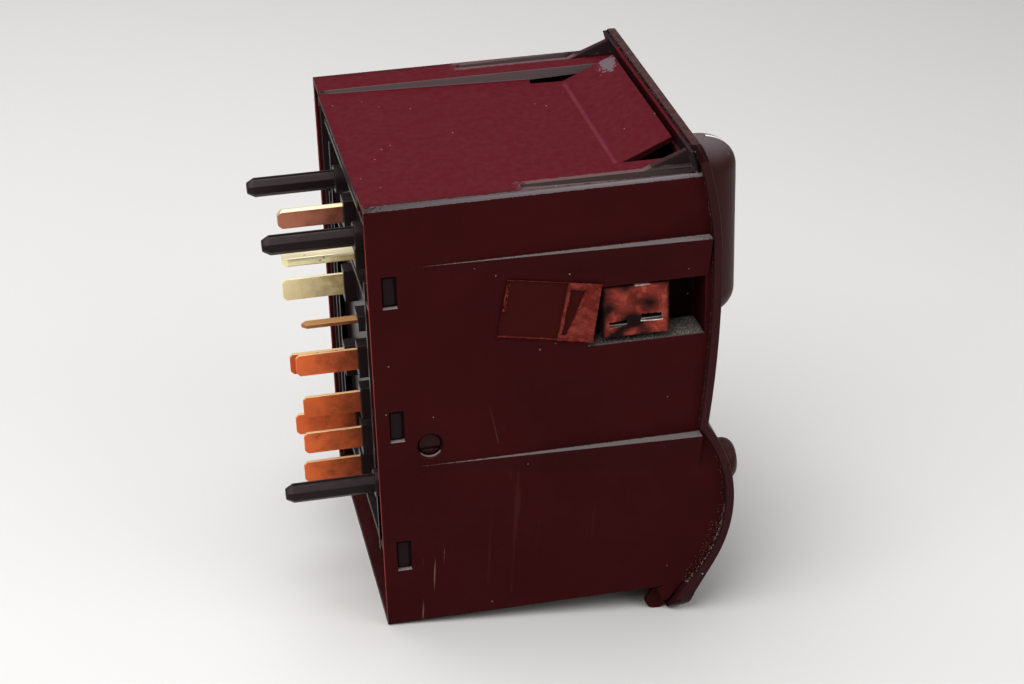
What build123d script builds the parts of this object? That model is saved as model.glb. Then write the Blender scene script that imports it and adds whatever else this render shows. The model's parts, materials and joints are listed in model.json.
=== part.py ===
"""Car light switch: a rotary lamp knob, two thumbwheels and two fog lamp buttons in a plug-in housing.

X runs from the terminals to the driver, Y across the switch and Z up. The origin lies in the plane of the
housing's rear rim, at the middle of its underside. Lengths are millimetres.
"""

import os
from math import asin, cos, degrees, radians, sin, sqrt

from build123d import *

# Overshoot of cutting shapes, small play between parts, and overlap where two shapes join
PAST = 1.0
PLAY = 0.3
JOIN = 0.1

# Housing
HOUSING_H = 94.0
HOUSING_W = 72.6
WALL = 1.5
EDGE_ROUND = 0.8
HALF_W = HOUSING_W / 2
INNER_HALF_W = HALF_W - WALL

# Front outline of the side walls: two long arcs that meet at a crest, a notch, and a round bulge below it
CREST_X = 68.4
CREST_Z = 74.7
UPPER_RADIUS = 81.4
LOWER_RADIUS = 255.0
BULGE_X = 43.3
BULGE_Z = 20.9
BULGE_RADIUS = 28.3
SKIN = 1.75
BEZEL_TOP = 98.9
BEZEL_HALF_W = 37.85
FLANGE_TOP = 98.2
FLANGE_HALF_W = 35.6
FLANGE = 1.0
LOWER_FLANGE = ((60.6, WALL), (63.2, WALL), (62.2, 0), (59.4, -3.4), (58.0, -3.4))
UPPER_WEB = ((55.4, HOUSING_H), (64.8, 97.8), (65.4, HOUSING_H - 5), (55.4, HOUSING_H - 1))
LOWER_WEB = ((52.5, 0), (58.4, -3.4), (59.4, -3.4), (62.2, 0), (60.0, 1))
LOWER_END_WEB = ((57.2, 0), (58.4, -3.4), (59.4, -3.4), (62.2, 0), (60.0, 1))

# Lip of the bezel under the switch, from its shoulder round to its rear edge
SKIRT_ANGLE = -30.6
LIP_SHOULDER = (64.5, -2.4)
LIP_BEND = (63.1, -4.9)
LIP_REAR = (59.4, -5.4)
BEZEL_ROUND = 4.2
BEZEL_X = (50, 90)
FRONT_CUT_X = (60, 80)

# Foot of the switch: the plane through the rear rim's lower edge and the bezel's lip
REST_SLOPE = -0.0953
LIP_X = 61.0
FOOT_X = (56.4, 57.9)
FOOT_Y = (34.0, 35.4)
FOOT_REAR = ((57.2, 0.5), (54.8, -3.6), (55.6, -4.9))
FOOT_FRONT = ((58.9, -5.0), (59.4, -3.4), (61.4, -0.4), (60.0, 0.5))

# Sunken panel in the top wall, with a sprung tongue at its front end
PANEL_HALF_W = 27.2
PANEL_REAR_Z = 93.1
CREASE_X = 52.4
CREASE_Z = 91.6
TONGUE_END_X = 63.7
TONGUE_END_Z = 96.5
TONGUE_ROOT_X = 45.5
TONGUE_Y = (-22.9, 24.9)
TONGUE_TIP_UNDER = (64.1, 95.4)
CREASE_UNDER_X = 53.0
PANEL_FRONT_X = 64.4
STEP_WALL = 1.2
STEP_FRONT_X = 65
WEB_Y = 31.2
WEB = 1.4

# Ribs under the two grooves along the top edges, and each end of a groove: X, Y, width, twice its depth
RIB_X = (28, 64.5)
RIB_LOW = 88.6
GROOVE_ENDS = ((31, 33.4, 1.3, 1.2), (68, 34.3, 3.4, 5.2))

# Side faces
LEDGES = (80.8, 36.9)
LEDGE_PROUD = 2.5
LEDGE_DROP = 8.6
LEDGE_REAR = (8.2, 0.05)
LEDGE_FRONT_X = (67.8, 66.2)
LEDGE_ROOT = 0.3
LEDGE_LEAST_DROP = 0.1
WINDOW_X = (2.7, 5.6)
WINDOW_H = 6.8
WINDOWS = (75.9, 46.4, 16.4)
POCKET_X = (42.7, 67.0)
POCKET_Z = (59.2, 71.8)
POCKET_DEPTH = 8.0
POCKET_WALL = 1.2
POCKET_FRONT_WALL = 0.8
ADJUSTER_X = 10.6
ADJUSTER_Z = 41.3
ADJUSTER_BORE = 2.5
ADJUSTER_CHAMFER = 0.3
ADJUSTER_BOSS_R = 2.2
ADJUSTER_BOSS = 0.7
ADJUSTER_SLOT_X = (8.9, 12.5)
ADJUSTER_SLOT_DROP = (1.4, 0.8)

# Snap tabs of the bezel: height, front end, and the grooves in the housing that take their hooks
TABS = ((15.0, 71.8), (50.0, 68.0), (84.0, 68.4))
TAB_REAR = 56.5
TAB = 1.3
TAB_HALF_H = 3
HOOK_X = (57.4, 59.2)
HOOK = 0.6
HOOK_ROOT = 0.2
CATCH_X = (57.0, 59.4)
CATCH_HALF_H = 4
CATCH_DEPTH = 0.7

# Terminal carrier and contact board
CARRIER_REAR = 3.0
CARRIER_FRONT = 5.0
CARRIER_TOP = 89.6
CARRIER_HALF_W = 34.7
CARRIER_LOW = 1.6
CARRIER_SIDE = 1.4
CARRIER_SIDE_REAR = 0.8
CARRIER_SIDE_Z = (2.0, 88.5)
CARRIER_HOOK = 0.9
CARRIER_HOOK_X = (2.9, 5.2)
CARRIER_HOOK_HALF_H = 2.9
COLLAR_REAR = 0.3
COLLAR_Y = 1.5
COLLAR_Z = 1.3
UPRIGHTS = ((-22.0, 10.0, 72.0), (23.0, 10.0, 84.0), (29.0, 16.0, 70.0))
UPRIGHT_REAR = 1.0
UPRIGHT_HALF = 0.7
CROSSBARS = (12.0, 67.5, 86.0)
CROSSBAR_REAR = 1.2
CROSSBAR_HALF_L = 30.0
CROSSBAR_HALF = 0.6
CARRIER_CUT_X = (-1, 8)
BOARD_REAR = 16.0
BOARD = 1.6
BOARD_HALF_W = 33.2
BOARD_Z = (3.5, 88.0)
PIN_ACROSS = 3.8
PIN_END = -18.0
PIN_TAPER = 1.6
PIN_TIP_ACROSS = 2.2
PIN_SIDES = 8
PIN_TURN = 22.5
PIN_ROOT_X = 0.2
PIN_ROOT = 1.0
PIN_GROOVE = 0.4
PIN_GROOVE_OVER = 0.2
GUIDE_PINS = ((10.7, 80.6), (-16.5, 79.7), (-25.2, 27.9))
BLADE = 0.8
BLADE_COIN = 0.45
BLADE_TIP = 1.0
BLADE_TIP_SHARE = 0.9

# Each blade: name, Y, Z, width across Y, width across Z, rear end
BLADES = (
    ("battery_blade", 0.0, 77.6, 1.6, 4.2, -13.1),
    ("ignition_blade", -13.1, 74.7, 4.8, 1.8, -14.0),
    ("headlamp_blade", 7.1, 58.2, BLADE, 4.8, -12.6),
    ("signal_blade", -12.3, 59.2, 2.3, BLADE, -11.0),
    ("left_sidelamp_blade", -9.2, 48.5, BLADE, 4.8, -12.4),
    ("ground_blade", 14.6, 36.6, BLADE, 4.8, -11.6),
    ("right_sidelamp_blade", -9.6, 38.8, BLADE, 4.8, -11.6),
    ("front_fog_blade", 2.1, 28.5, BLADE, 4.8, -12.4),
    ("rear_fog_blade", -7.5, 29.1, BLADE, 4.8, -11.8),
    ("dimmer_blade", -2.7, 19.4, BLADE, 4.8, -11.8),
)

# Chassis that carries the knob, the wheels and the buttons
CHASSIS_REAR = 42.0
CHASSIS_FRONT = 44.0
CHASSIS_HALF_W = 33.8
CHASSIS_Z = (4.0, 88.4)
SCREWS = ((-29.5, 10.0), (29.5, 10.0), (-29.5, 82.5), (29.5, 82.5))
SCREW_R = 1.25
SCREW_END = 58
SCREW_HOLE_END = 60
SCREW_HEAD = 1.8
SCREW_HEAD_R = 2.6
SCREW_CROSS = (1.6, 0.35, 1.0)
SCREW_BOSS_R = 3.0
SCREW_BOSS_JOIN = 0.4
CHASSIS_NOTCH_X = (40, 50)
CHASSIS_NOTCH_Y = 40
CHASSIS_NOTCH_OVER = 1.5
TUBE_END = 69.4
ARMS = ((-17.5, -15.0), (-1.2, 1.2), (15.0, 17.5))
ARM_REACH = 3.5
SPRING_POST_Y = (15.0, 17.0)
SPRING_POST_Z = (8.0, 12.0)
LAMP_POST_Y = (23.0, 25.0)
LAMP_POST_Z = ((76.0, 80.0), (48.5, 52.5))

# Knob
KNOB_Z = 65.6
SHAFT_R = 4.95
BEARING_R = 5.0
TUBE_R = 8.0
SKIRT_REAR = 70.6
SKIRT_FRONT = 74.0
GRIP_FRONT = 83.6
GRIP_HALF_W = 6.8
GRIP_HALF_L = 20.7
GRIP_ROUND = 8.1
GRIP_STRETCH = 1.25
SHAFT_END = 78.5
DRUM_REAR = 19.6
DRUM_FRONT = 24.0
DRUM_R = 15.0
STAR_X = (36.0, 41.0)
STAR_R = 9.8
STAR_NOTCHES = 24
STAR_NOTCH_R = 1.0
STAR_NOTCH_OUT = 0.4
SKIRT_ROUND = 1.0
SKIRT_HOLLOW = 1.8
SKIRT_RIM = 1.6
SOCKET_WALL = 2.4
SOCKET_L = 3.2
SHAFT_FLAT = 3.0
SHAFT_FLAT_X = 66
POINTER = 0.8
POINTER_DEPTH = 0.5
POINTER_REAR = 77.2
POINTER_LOW = 6
POINTER_PAST = 90

# Wiper under the drum and leaf spring on the star
WIPER = 0.4
WIPER_R = (10.6, 13.0)
FINGER_ANGLES = (80, 200, 320)
FINGER_PITCH_R = 11.8
FINGER_R = 0.9
FINGER_GAP = 0.05
LEAF = 0.4
LEAF_HALF_L = 15.0
LEAF_GAP = 0.5
LEAF_INSET = 0.5
LEAF_NOSE_R = 0.6
LEAF_NOSE_L = 4.0

# Symbol windows above and beside the knob, one for each lamp setting
WINDOW_PITCH_R = 23.6
WINDOW_ANGLES = (0, 30, 60)
WINDOW_R = 1.8
LAMP_BOARD_REAR = 54.0
GUIDE_REAR = 58.0
GUIDE_RING = 1.2
GUIDE_RING_W = 2.0
LAMP_BOARD_HALF_W = 26.0
LAMP_BOARD_Z = (46.0, 90.4)
LAMP_BOARD_PLAY = 0.2
LAMP = (1.2, 1.4, 0.8)

# Thumbwheels on one axle
AXLE_X = 59.7
AXLE_Z = 30.4
AXLE_R = 1.5
AXLE_HALF_L = 17.5
WHEEL_R = 12.0
WHEEL_Y = (8.0, 14.0)
WHEEL_GROOVES = 72
WHEEL_SLOT_Z = (25.4, 41.5)
WHEEL_SLOT_REAR = 62
WHEEL_PLAY = 0.5
WHEEL_BORE_PLAY = 0.05
WHEEL_GROOVE_R = 0.36
WHEEL_GROOVE_OUT = 0.1
WHEEL_RIM = 2.0
WHEEL_HUB_R = 4.0
WHEEL_DISH = 1.8
TRACK_Y = (2.2, 7.2)
TRACK_R = 7.0
TRACK_HALF_H = 3.0

# Fog lamp buttons
BUTTON_Y = 29.7
BUTTON_Z = 25.6
BUTTON_R = 4.5
BUTTON_FRONT = 75.5
BUTTON_TRAVEL = 1.8
BUTTON_STEM_R = 2.0
BUTTON_STEM_END = 55.2
BUTTON_REAR = 66.4
BUTTON_ROUND = 2.4
KEY_X = (67.4, 68.6)
KEY_HALF_W = 2.0
KEY_REACH = 1.0
MICROSWITCH_FRONT = 52.0
MICROSWITCH_HALF = (3.6, 6.0)
PLUNGER_END = 53.3
PLUNGER_R = 1.2
COIL_R = 3.2
COIL_WIRE_R = 0.25
COIL_PITCH = 2.75
COIL_TURNS = 5

# Retaining clips and the adhesive film on the near one
CLIP = 0.6
CLIP_X = (46.4, 59.6)
CLIP_Z = (60.5, 71.3)
CLIP_FOOT_SHORT = 4
CLIP_RETURN = 4.0
CLIP_SLOTS = (((47.4, 51.2), (63.2, 64.2)), ((54.0, 58.2), (64.0, 65.3)))
FILM = 0.25
FILM_CUT_Y = -30
FILM_TEARS = (((46.9, 51.6), (62.6, 64.8)), ((53.6, 58.6), (63.6, 66.0)))
WALL_FILM = 0.12
WALL_FILM_OUTLINE = ((27.2, 76.1), (45.9, 73.0), (43.9, 60.3), (24.8, 64.0))


def front_x(z, out=0.0):
    """X of the upper front outline at height z, moved outwards by out."""
    radius = (UPPER_RADIUS if z > CREST_Z else LOWER_RADIUS) + out
    return CREST_X + out - radius + sqrt(radius**2 - (z - CREST_Z) ** 2)


def bulge_x(z, out=0.0):
    """X of the lower, round front outline at height z."""
    return BULGE_X + sqrt((BULGE_RADIUS + out) ** 2 - (z - BULGE_Z) ** 2)


def bulge_point(angle, out=0.0):
    """Point of the round bulge at an angle in degrees above level."""
    radius = BULGE_RADIUS + out
    return (BULGE_X + radius * cos(radians(angle)), BULGE_Z + radius * sin(radians(angle)))


def rest_z(x):
    """Height of the plane that the switch rests on, at x."""
    return REST_SLOPE * x


def notch_angle(out=0.0):
    """Angle at which the upper outline runs into the bulge."""
    z = BULGE_Z + BULGE_RADIUS / 2
    for _ in range(6):
        z = BULGE_Z + sqrt((BULGE_RADIUS + out) ** 2 - (front_x(z, out) - BULGE_X) ** 2)
    return degrees(asin((z - BULGE_Z) / (BULGE_RADIUS + out)))


def draw_front(top_z, end_angle, out=0.0):
    """Draws the front outline from top_z down to a point of the bulge and returns its two ends."""
    top = (front_x(top_z, out), top_z)
    crest = (CREST_X + out, CREST_Z)
    notch_at = notch_angle(out)
    notch = bulge_point(notch_at, out)
    middle_z = (top_z + CREST_Z) / 2
    ThreePointArc(top, (front_x(middle_z, out), middle_z), crest)
    middle_z = (CREST_Z + notch[1]) / 2
    ThreePointArc(crest, (front_x(middle_z, out), middle_z), notch)
    foot = bulge_point(end_angle, out)
    ThreePointArc(notch, bulge_point((notch_at + end_angle) / 2, out), foot)
    return top, foot


def block(x, y, z, mode=Mode.ADD):
    """A box between the low and high values given for each axis."""
    middle = [(low + high) / 2 for low, high in (x, y, z)]
    with Locations(tuple(middle)):
        Box(x[1] - x[0], y[1] - y[0], z[1] - z[0], mode=mode)


def rod(x, y, z, radius, mode=Mode.ADD):
    """A round bar along X at (y, z)."""
    with BuildSketch(Plane.YZ.offset(x[0])) as section:
        with Locations((y, z)):
            Circle(radius)
    extrude(section.sketch, amount=x[1] - x[0], mode=mode)


def cross_rod(y, x, z, radius, mode=Mode.ADD):
    """A round bar along Y at (x, z)."""
    with BuildSketch(Plane.XZ.offset(-y[1])) as section:
        with Locations((x, z)):
            Circle(radius)
    extrude(section.sketch, amount=y[1] - y[0], mode=mode)


def plate(points, y, mode=Mode.ADD):
    """A flat plate with a straight-sided outline in XZ, between two Y values."""
    with BuildSketch(Plane.XZ.offset(-y[1])) as outline:
        with BuildLine():
            Polyline(*points, close=True)
        make_face()
    extrude(outline.sketch, amount=y[1] - y[0], mode=mode)


def both_sides(low, high):
    """The Y ranges of a feature on the near side and of its mirror image on the far side."""
    return ((-high, -low), (low, high))


def finish(builder, name):
    """Labels a finished piece and writes it to its STEP file."""
    builder.part.label = name
    export_step(builder.part, f"parts/{name}.step")


os.makedirs("parts", exist_ok=True)

# ---------------------------------------------------------------- housing
FOOT_ANGLE = -degrees(asin(BULGE_Z / BULGE_RADIUS))

with BuildPart() as housing:
    with BuildSketch(Plane.XZ):
        with BuildLine():
            top, foot = draw_front(HOUSING_H, FOOT_ANGLE)
            Polyline(foot, (0, 0), (0, HOUSING_H), top)
        make_face()
    extrude(amount=HALF_W, both=True)
    fillet(housing.edges().filter_by(Axis.X), radius=EDGE_ROUND)
    block(
        (-PAST, FRONT_CUT_X[1]),
        (-INNER_HALF_W, INNER_HALF_W),
        (WALL, HOUSING_H - WALL),
        Mode.SUBTRACT,
    )

    # Corner ribs under the outer grooves, and the grooves, which deepen towards the front
    for y_range in both_sides(WEB_Y, INNER_HALF_W):
        block(RIB_X, y_range, (RIB_LOW, HOUSING_H - WALL))
    for side in (-1, 1):
        for x, y, width, height in GROOVE_ENDS:
            with BuildSketch(Plane.YZ.offset(x)):
                with Locations((side * y, HOUSING_H)):
                    Rectangle(width, height)
        loft(mode=Mode.SUBTRACT)

    # Sunken top panel between two step walls, with the free tongue at its front
    block(
        (-PAST, PANEL_FRONT_X),
        (-PANEL_HALF_W, PANEL_HALF_W),
        (HOUSING_H - WALL - PAST, HOUSING_H + PAST),
        Mode.SUBTRACT,
    )
    for y_range in both_sides(PANEL_HALF_W, PANEL_HALF_W + STEP_WALL):
        block((0, STEP_FRONT_X), y_range, (CREASE_Z - WALL, HOUSING_H - WALL))
    slope = (PANEL_REAR_Z - CREASE_Z) / CREASE_X
    tongue_root_z = PANEL_REAR_Z - slope * TONGUE_ROOT_X
    plate(
        (
            (0, PANEL_REAR_Z),
            (TONGUE_ROOT_X, tongue_root_z),
            (TONGUE_ROOT_X, tongue_root_z - WALL),
            (0, PANEL_REAR_Z - WALL),
        ),
        (-PANEL_HALF_W - JOIN, PANEL_HALF_W + JOIN),
    )
    plate(
        (
            (TONGUE_ROOT_X, tongue_root_z),
            (CREASE_X, CREASE_Z),
            (TONGUE_END_X, TONGUE_END_Z),
            TONGUE_TIP_UNDER,
            (CREASE_UNDER_X, CREASE_Z - WALL),
            (TONGUE_ROOT_X, tongue_root_z - WALL),
        ),
        TONGUE_Y,
    )

    # Flange behind the bezel, above and below, and the webs that stiffen it
    with BuildSketch(Plane.XZ):
        with BuildLine():
            Polyline(
                (front_x(FLANGE_TOP), FLANGE_TOP),
                (front_x(FLANGE_TOP) - FLANGE, FLANGE_TOP),
                (front_x(HOUSING_H - WALL) - FLANGE, HOUSING_H - WALL),
                (front_x(HOUSING_H - WALL), HOUSING_H - WALL),
            )
            middle_z = (FLANGE_TOP + HOUSING_H - WALL) / 2
            ThreePointArc(
                (front_x(HOUSING_H - WALL), HOUSING_H - WALL),
                (front_x(middle_z), middle_z),
                (front_x(FLANGE_TOP), FLANGE_TOP),
            )
        make_face()
    extrude(amount=FLANGE_HALF_W, both=True)
    plate(LOWER_FLANGE, (-HALF_W, HALF_W))
    for y_range in both_sides(WEB_Y, WEB_Y + WEB):
        plate(UPPER_WEB, y_range)
        plate(LOWER_WEB, y_range)
    for y_range in both_sides(INNER_HALF_W, HALF_W):
        plate(LOWER_END_WEB, y_range)
    # Feet behind the bezel's lip, cut to the slope at which the switch rests
    foot_soles = tuple((x, rest_z(x)) for x in FOOT_X)
    for y_range in both_sides(*FOOT_Y):
        plate((*FOOT_REAR, *foot_soles, *FOOT_FRONT), y_range)

    # Side ledges: flat on top, proud at the front, blending into the face below and behind
    for side in (-1, 1):
        for ledge_z, ledge_end in zip(LEDGES, LEDGE_FRONT_X):
            for x, proud in (LEDGE_REAR, (ledge_end, LEDGE_PROUD)):
                share = LEDGE_LEAST_DROP + (1 - LEDGE_LEAST_DROP) * proud / LEDGE_PROUD
                drop = LEDGE_DROP * share
                with BuildSketch(Plane.YZ.offset(x)):
                    with BuildLine():
                        Polyline(
                            (side * (HALF_W - LEDGE_ROOT), ledge_z),
                            (side * (HALF_W + proud), ledge_z),
                            (side * HALF_W, ledge_z - drop),
                            (side * (HALF_W - LEDGE_ROOT), ledge_z - drop),
                            close=True,
                        )
                    make_face()
            loft()

    # Clip pockets, snap windows and the adjuster hole
    for side in (-1, 1):
        mouth = sorted((side * (HALF_W + LEDGE_PROUD + PAST), side * (HALF_W - POCKET_DEPTH)))
        shell = sorted((side * (HALF_W - WALL / 2), side * (HALF_W - POCKET_DEPTH - POCKET_WALL)))
        block(
            (POCKET_X[0] - POCKET_WALL, POCKET_X[1] + POCKET_FRONT_WALL),
            shell,
            (POCKET_Z[0] - POCKET_WALL, POCKET_Z[1] + POCKET_WALL),
        )
        block(POCKET_X, mouth, POCKET_Z, Mode.SUBTRACT)
        wall = sorted((side * (HALF_W + PAST), side * (INNER_HALF_W - JOIN)))
        for window_z in WINDOWS:
            block(WINDOW_X, wall, (window_z - WINDOW_H / 2, window_z + WINDOW_H / 2), Mode.SUBTRACT)
    bore_y = (-HALF_W - PAST, -INNER_HALF_W + JOIN)
    cross_rod(bore_y, ADJUSTER_X, ADJUSTER_Z, ADJUSTER_BORE, Mode.SUBTRACT)
    near_arcs = housing.edges().filter_by(GeomType.CIRCLE).group_by(Axis.Y)[0]
    bore_mouth = near_arcs.filter_by(lambda edge: abs(edge.radius - ADJUSTER_BORE) < JOIN)
    chamfer(bore_mouth, length=ADJUSTER_CHAMFER)

    # Grooves in the side walls that the bezel's tabs snap into
    for y_range in both_sides(INNER_HALF_W - JOIN, INNER_HALF_W + CATCH_DEPTH):
        for z, _ in TABS:
            block(CATCH_X, y_range, (z - CATCH_HALF_H, z + CATCH_HALF_H), Mode.SUBTRACT)
finish(housing, "housing")

# ---------------------------------------------------------------- front bezel
with BuildPart() as front_bezel:
    with BuildSketch(Plane.XZ):
        with BuildLine():
            inner_top, inner_foot = draw_front(BEZEL_TOP, FOOT_ANGLE)
            outer_top, outer_foot = draw_front(BEZEL_TOP, SKIRT_ANGLE, SKIN)
            Line(inner_top, outer_top)
            lip_low = (LIP_X, rest_z(LIP_X))
            Line(outer_foot, LIP_SHOULDER)
            ThreePointArc(LIP_SHOULDER, LIP_BEND, lip_low)
            Polyline(lip_low, LIP_REAR, inner_foot)
        make_face()
    extrude(amount=BEZEL_HALF_W, both=True)
    # Rounded corners, seen from the driver's side
    with BuildSketch(Plane.YZ.offset(BEZEL_X[0])):
        with Locations((0, (BEZEL_TOP + rest_z(LIP_X)) / 2)):
            RectangleRounded(2 * BEZEL_HALF_W, BEZEL_TOP - rest_z(LIP_X), BEZEL_ROUND)
    extrude(amount=BEZEL_X[1] - BEZEL_X[0], mode=Mode.INTERSECT)
    # Openings for the knob, the symbol windows, the thumbwheels and the buttons
    rod(FRONT_CUT_X, 0, KNOB_Z, TUBE_R + PLAY, Mode.SUBTRACT)
    for angle in WINDOW_ANGLES:
        window_y = WINDOW_PITCH_R * sin(radians(angle))
        window_z = KNOB_Z + WINDOW_PITCH_R * cos(radians(angle))
        rod(FRONT_CUT_X, window_y, window_z, WINDOW_R, Mode.SUBTRACT)
    for y_range in both_sides(WHEEL_Y[0] - WHEEL_PLAY, WHEEL_Y[1] + WHEEL_PLAY):
        block((WHEEL_SLOT_REAR, FRONT_CUT_X[1]), y_range, WHEEL_SLOT_Z, Mode.SUBTRACT)
    for side in (-1, 1):
        rod(FRONT_CUT_X, side * BUTTON_Y, BUTTON_Z, BUTTON_R + PLAY, Mode.SUBTRACT)
    # Screw bosses that run back to the chassis
    for y, z in SCREWS:
        boss_end = bulge_x(z) if z < KNOB_Z / 2 else front_x(z)
        rod((CHASSIS_FRONT, boss_end + SCREW_BOSS_JOIN), y, z, SCREW_BOSS_R)
        rod((CHASSIS_FRONT - PAST, SCREW_HOLE_END), y, z, SCREW_R, Mode.SUBTRACT)
    # Snap tabs along the side walls
    for side in (-1, 1):
        tab = sorted((side * (INNER_HALF_W - JOIN), side * (INNER_HALF_W - JOIN - TAB)))
        hook = sorted((side * (INNER_HALF_W + HOOK), side * (INNER_HALF_W - HOOK_ROOT)))
        for z, tab_end in TABS:
            block((TAB_REAR, tab_end), tab, (z - TAB_HALF_H, z + TAB_HALF_H))
            block(HOOK_X, hook, (z - TAB_HALF_H, z + TAB_HALF_H))
finish(front_bezel, "front_bezel")

# ---------------------------------------------------------------- terminal carrier
with BuildPart() as terminal_carrier:
    block(
        (CARRIER_REAR, CARRIER_FRONT),
        (-CARRIER_HALF_W, CARRIER_HALF_W),
        (CARRIER_LOW, CARRIER_TOP),
    )
    for y_range in both_sides(CARRIER_HALF_W - CARRIER_SIDE, CARRIER_HALF_W):
        block((CARRIER_SIDE_REAR, BOARD_REAR), y_range, CARRIER_SIDE_Z)
    for y_range in both_sides(CARRIER_HALF_W - CARRIER_SIDE, CARRIER_HALF_W + CARRIER_HOOK):
        for window_z in WINDOWS:
            hook_z = (window_z - CARRIER_HOOK_HALF_H, window_z + CARRIER_HOOK_HALF_H)
            block(CARRIER_HOOK_X, y_range, hook_z)
    # Raised insulating blocks round the blades, and the ribs that tie them together
    for _, y, z, width_y, width_z, _ in BLADES:
        block(
            (COLLAR_REAR, CARRIER_REAR),
            (y - width_y / 2 - COLLAR_Y, y + width_y / 2 + COLLAR_Y),
            (z - width_z / 2 - COLLAR_Z, z + width_z / 2 + COLLAR_Z),
        )
    for y, low, high in UPRIGHTS:
        block((UPRIGHT_REAR, CARRIER_REAR), (y - UPRIGHT_HALF, y + UPRIGHT_HALF), (low, high))
    for z in CROSSBARS:
        block(
            (CROSSBAR_REAR, CARRIER_REAR),
            (-CROSSBAR_HALF_L, CROSSBAR_HALF_L),
            (z - CROSSBAR_HALF, z + CROSSBAR_HALF),
        )
    # Guide pins, eight-sided, with a groove along the top and a tapered end
    for y, z in GUIDE_PINS:
        rod((PIN_ROOT_X, CARRIER_REAR), y, z, PIN_ACROSS / 2 + PIN_ROOT)
        for x, across in ((PIN_END, PIN_TIP_ACROSS), (PIN_END + PIN_TAPER, PIN_ACROSS)):
            with BuildSketch(Plane.YZ.offset(x)):
                with Locations((y, z)):
                    RegularPolygon(across / 2, PIN_SIDES, major_radius=False, rotation=PIN_TURN)
        loft()
        with BuildSketch(Plane.YZ.offset(PIN_END + PIN_TAPER)):
            with Locations((y, z)):
                RegularPolygon(PIN_ACROSS / 2, PIN_SIDES, major_radius=False, rotation=PIN_TURN)
        extrude(amount=CARRIER_REAR - PIN_END - PIN_TAPER)
        pin_top = z + PIN_ACROSS / 2
        block(
            (PIN_END + PIN_TAPER, PIN_ROOT_X),
            (y - PIN_GROOVE, y + PIN_GROOVE),
            (pin_top - PIN_GROOVE, pin_top + PIN_GROOVE_OVER),
            Mode.SUBTRACT,
        )
    # Boss behind the adjuster hole, with a driver slot
    boss_y = (-CARRIER_HALF_W - ADJUSTER_BOSS, -CARRIER_HALF_W)
    cross_rod(boss_y, ADJUSTER_X, ADJUSTER_Z, ADJUSTER_BOSS_R)
    slot_z = tuple(ADJUSTER_Z - drop for drop in ADJUSTER_SLOT_DROP)
    block(ADJUSTER_SLOT_X, (-HALF_W, -CARRIER_HALF_W), slot_z, Mode.SUBTRACT)
    for _, y, z, width_y, width_z, _ in BLADES:
        block(
            CARRIER_CUT_X,
            (y - width_y / 2, y + width_y / 2),
            (z - width_z / 2, z + width_z / 2),
            Mode.SUBTRACT,
        )
finish(terminal_carrier, "terminal_carrier")

# ---------------------------------------------------------------- terminal blades
for name, y, z, width_y, width_z, end in BLADES:
    with BuildPart() as blade:
        block(
            (end, BOARD_REAR + BOARD),
            (y - width_y / 2, y + width_y / 2),
            (z - width_z / 2, z + width_z / 2),
        )
        wide = Axis.Y if width_z > width_y else Axis.Z
        tip_edges = blade.faces().sort_by(Axis.X)[0].edges().filter_by(wide)
        chamfer(tip_edges, length=min(BLADE_TIP, width_y * BLADE_TIP_SHARE))
        if min(width_y, width_z) > 2 * BLADE_COIN:
            chamfer(blade.edges().filter_by(Axis.X), length=BLADE_COIN)
    finish(blade, name)

# ---------------------------------------------------------------- contact board
with BuildPart() as contact_board:
    block((BOARD_REAR, BOARD_REAR + BOARD), (-BOARD_HALF_W, BOARD_HALF_W), BOARD_Z)
    for _, y, z, width_y, width_z, _ in BLADES:
        block(
            (BOARD_REAR - PAST, BOARD_REAR + BOARD + PAST),
            (y - width_y / 2, y + width_y / 2),
            (z - width_z / 2, z + width_z / 2),
            Mode.SUBTRACT,
        )
finish(contact_board, "contact_board")

# ---------------------------------------------------------------- chassis
with BuildPart() as chassis:
    block((CHASSIS_REAR, CHASSIS_FRONT), (-CHASSIS_HALF_W, CHASSIS_HALF_W), CHASSIS_Z)
    for side in (-1, 1):
        notch = sorted((side * CHASSIS_NOTCH_Y, side * (HALF_W - POCKET_DEPTH - POCKET_WALL - PLAY)))
        notch_z = (POCKET_Z[0] - CHASSIS_NOTCH_OVER, POCKET_Z[1] + CHASSIS_NOTCH_OVER)
        block(CHASSIS_NOTCH_X, notch, notch_z, Mode.SUBTRACT)
    rod((CHASSIS_REAR, TUBE_END), 0, KNOB_Z, TUBE_R)
    rod((CHASSIS_REAR - PAST, TUBE_END + PAST), 0, KNOB_Z, BEARING_R, Mode.SUBTRACT)
    for y, z in SCREWS:
        rod((CHASSIS_REAR - PAST, CHASSIS_FRONT + PAST), y, z, SCREW_R + PLAY, Mode.SUBTRACT)
    # Arms that hold the wheel axle
    for y_range in ARMS:
        block((CHASSIS_FRONT, AXLE_X + ARM_REACH), y_range, (AXLE_Z - ARM_REACH, AXLE_Z + ARM_REACH))
    cross_rod((-AXLE_HALF_L - PAST, AXLE_HALF_L + PAST), AXLE_X, AXLE_Z, AXLE_R, Mode.SUBTRACT)
    # Posts of the detent spring, behind the plate
    for y_range in both_sides(*SPRING_POST_Y):
        block((STAR_X[0], CHASSIS_REAR), y_range, tuple(KNOB_Z + up for up in SPRING_POST_Z))
    # Supports of the lamp board
    for y_range in both_sides(*LAMP_POST_Y):
        for z_range in LAMP_POST_Z:
            block((CHASSIS_FRONT, LAMP_BOARD_REAR), y_range, z_range)
finish(chassis, "chassis")

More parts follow.
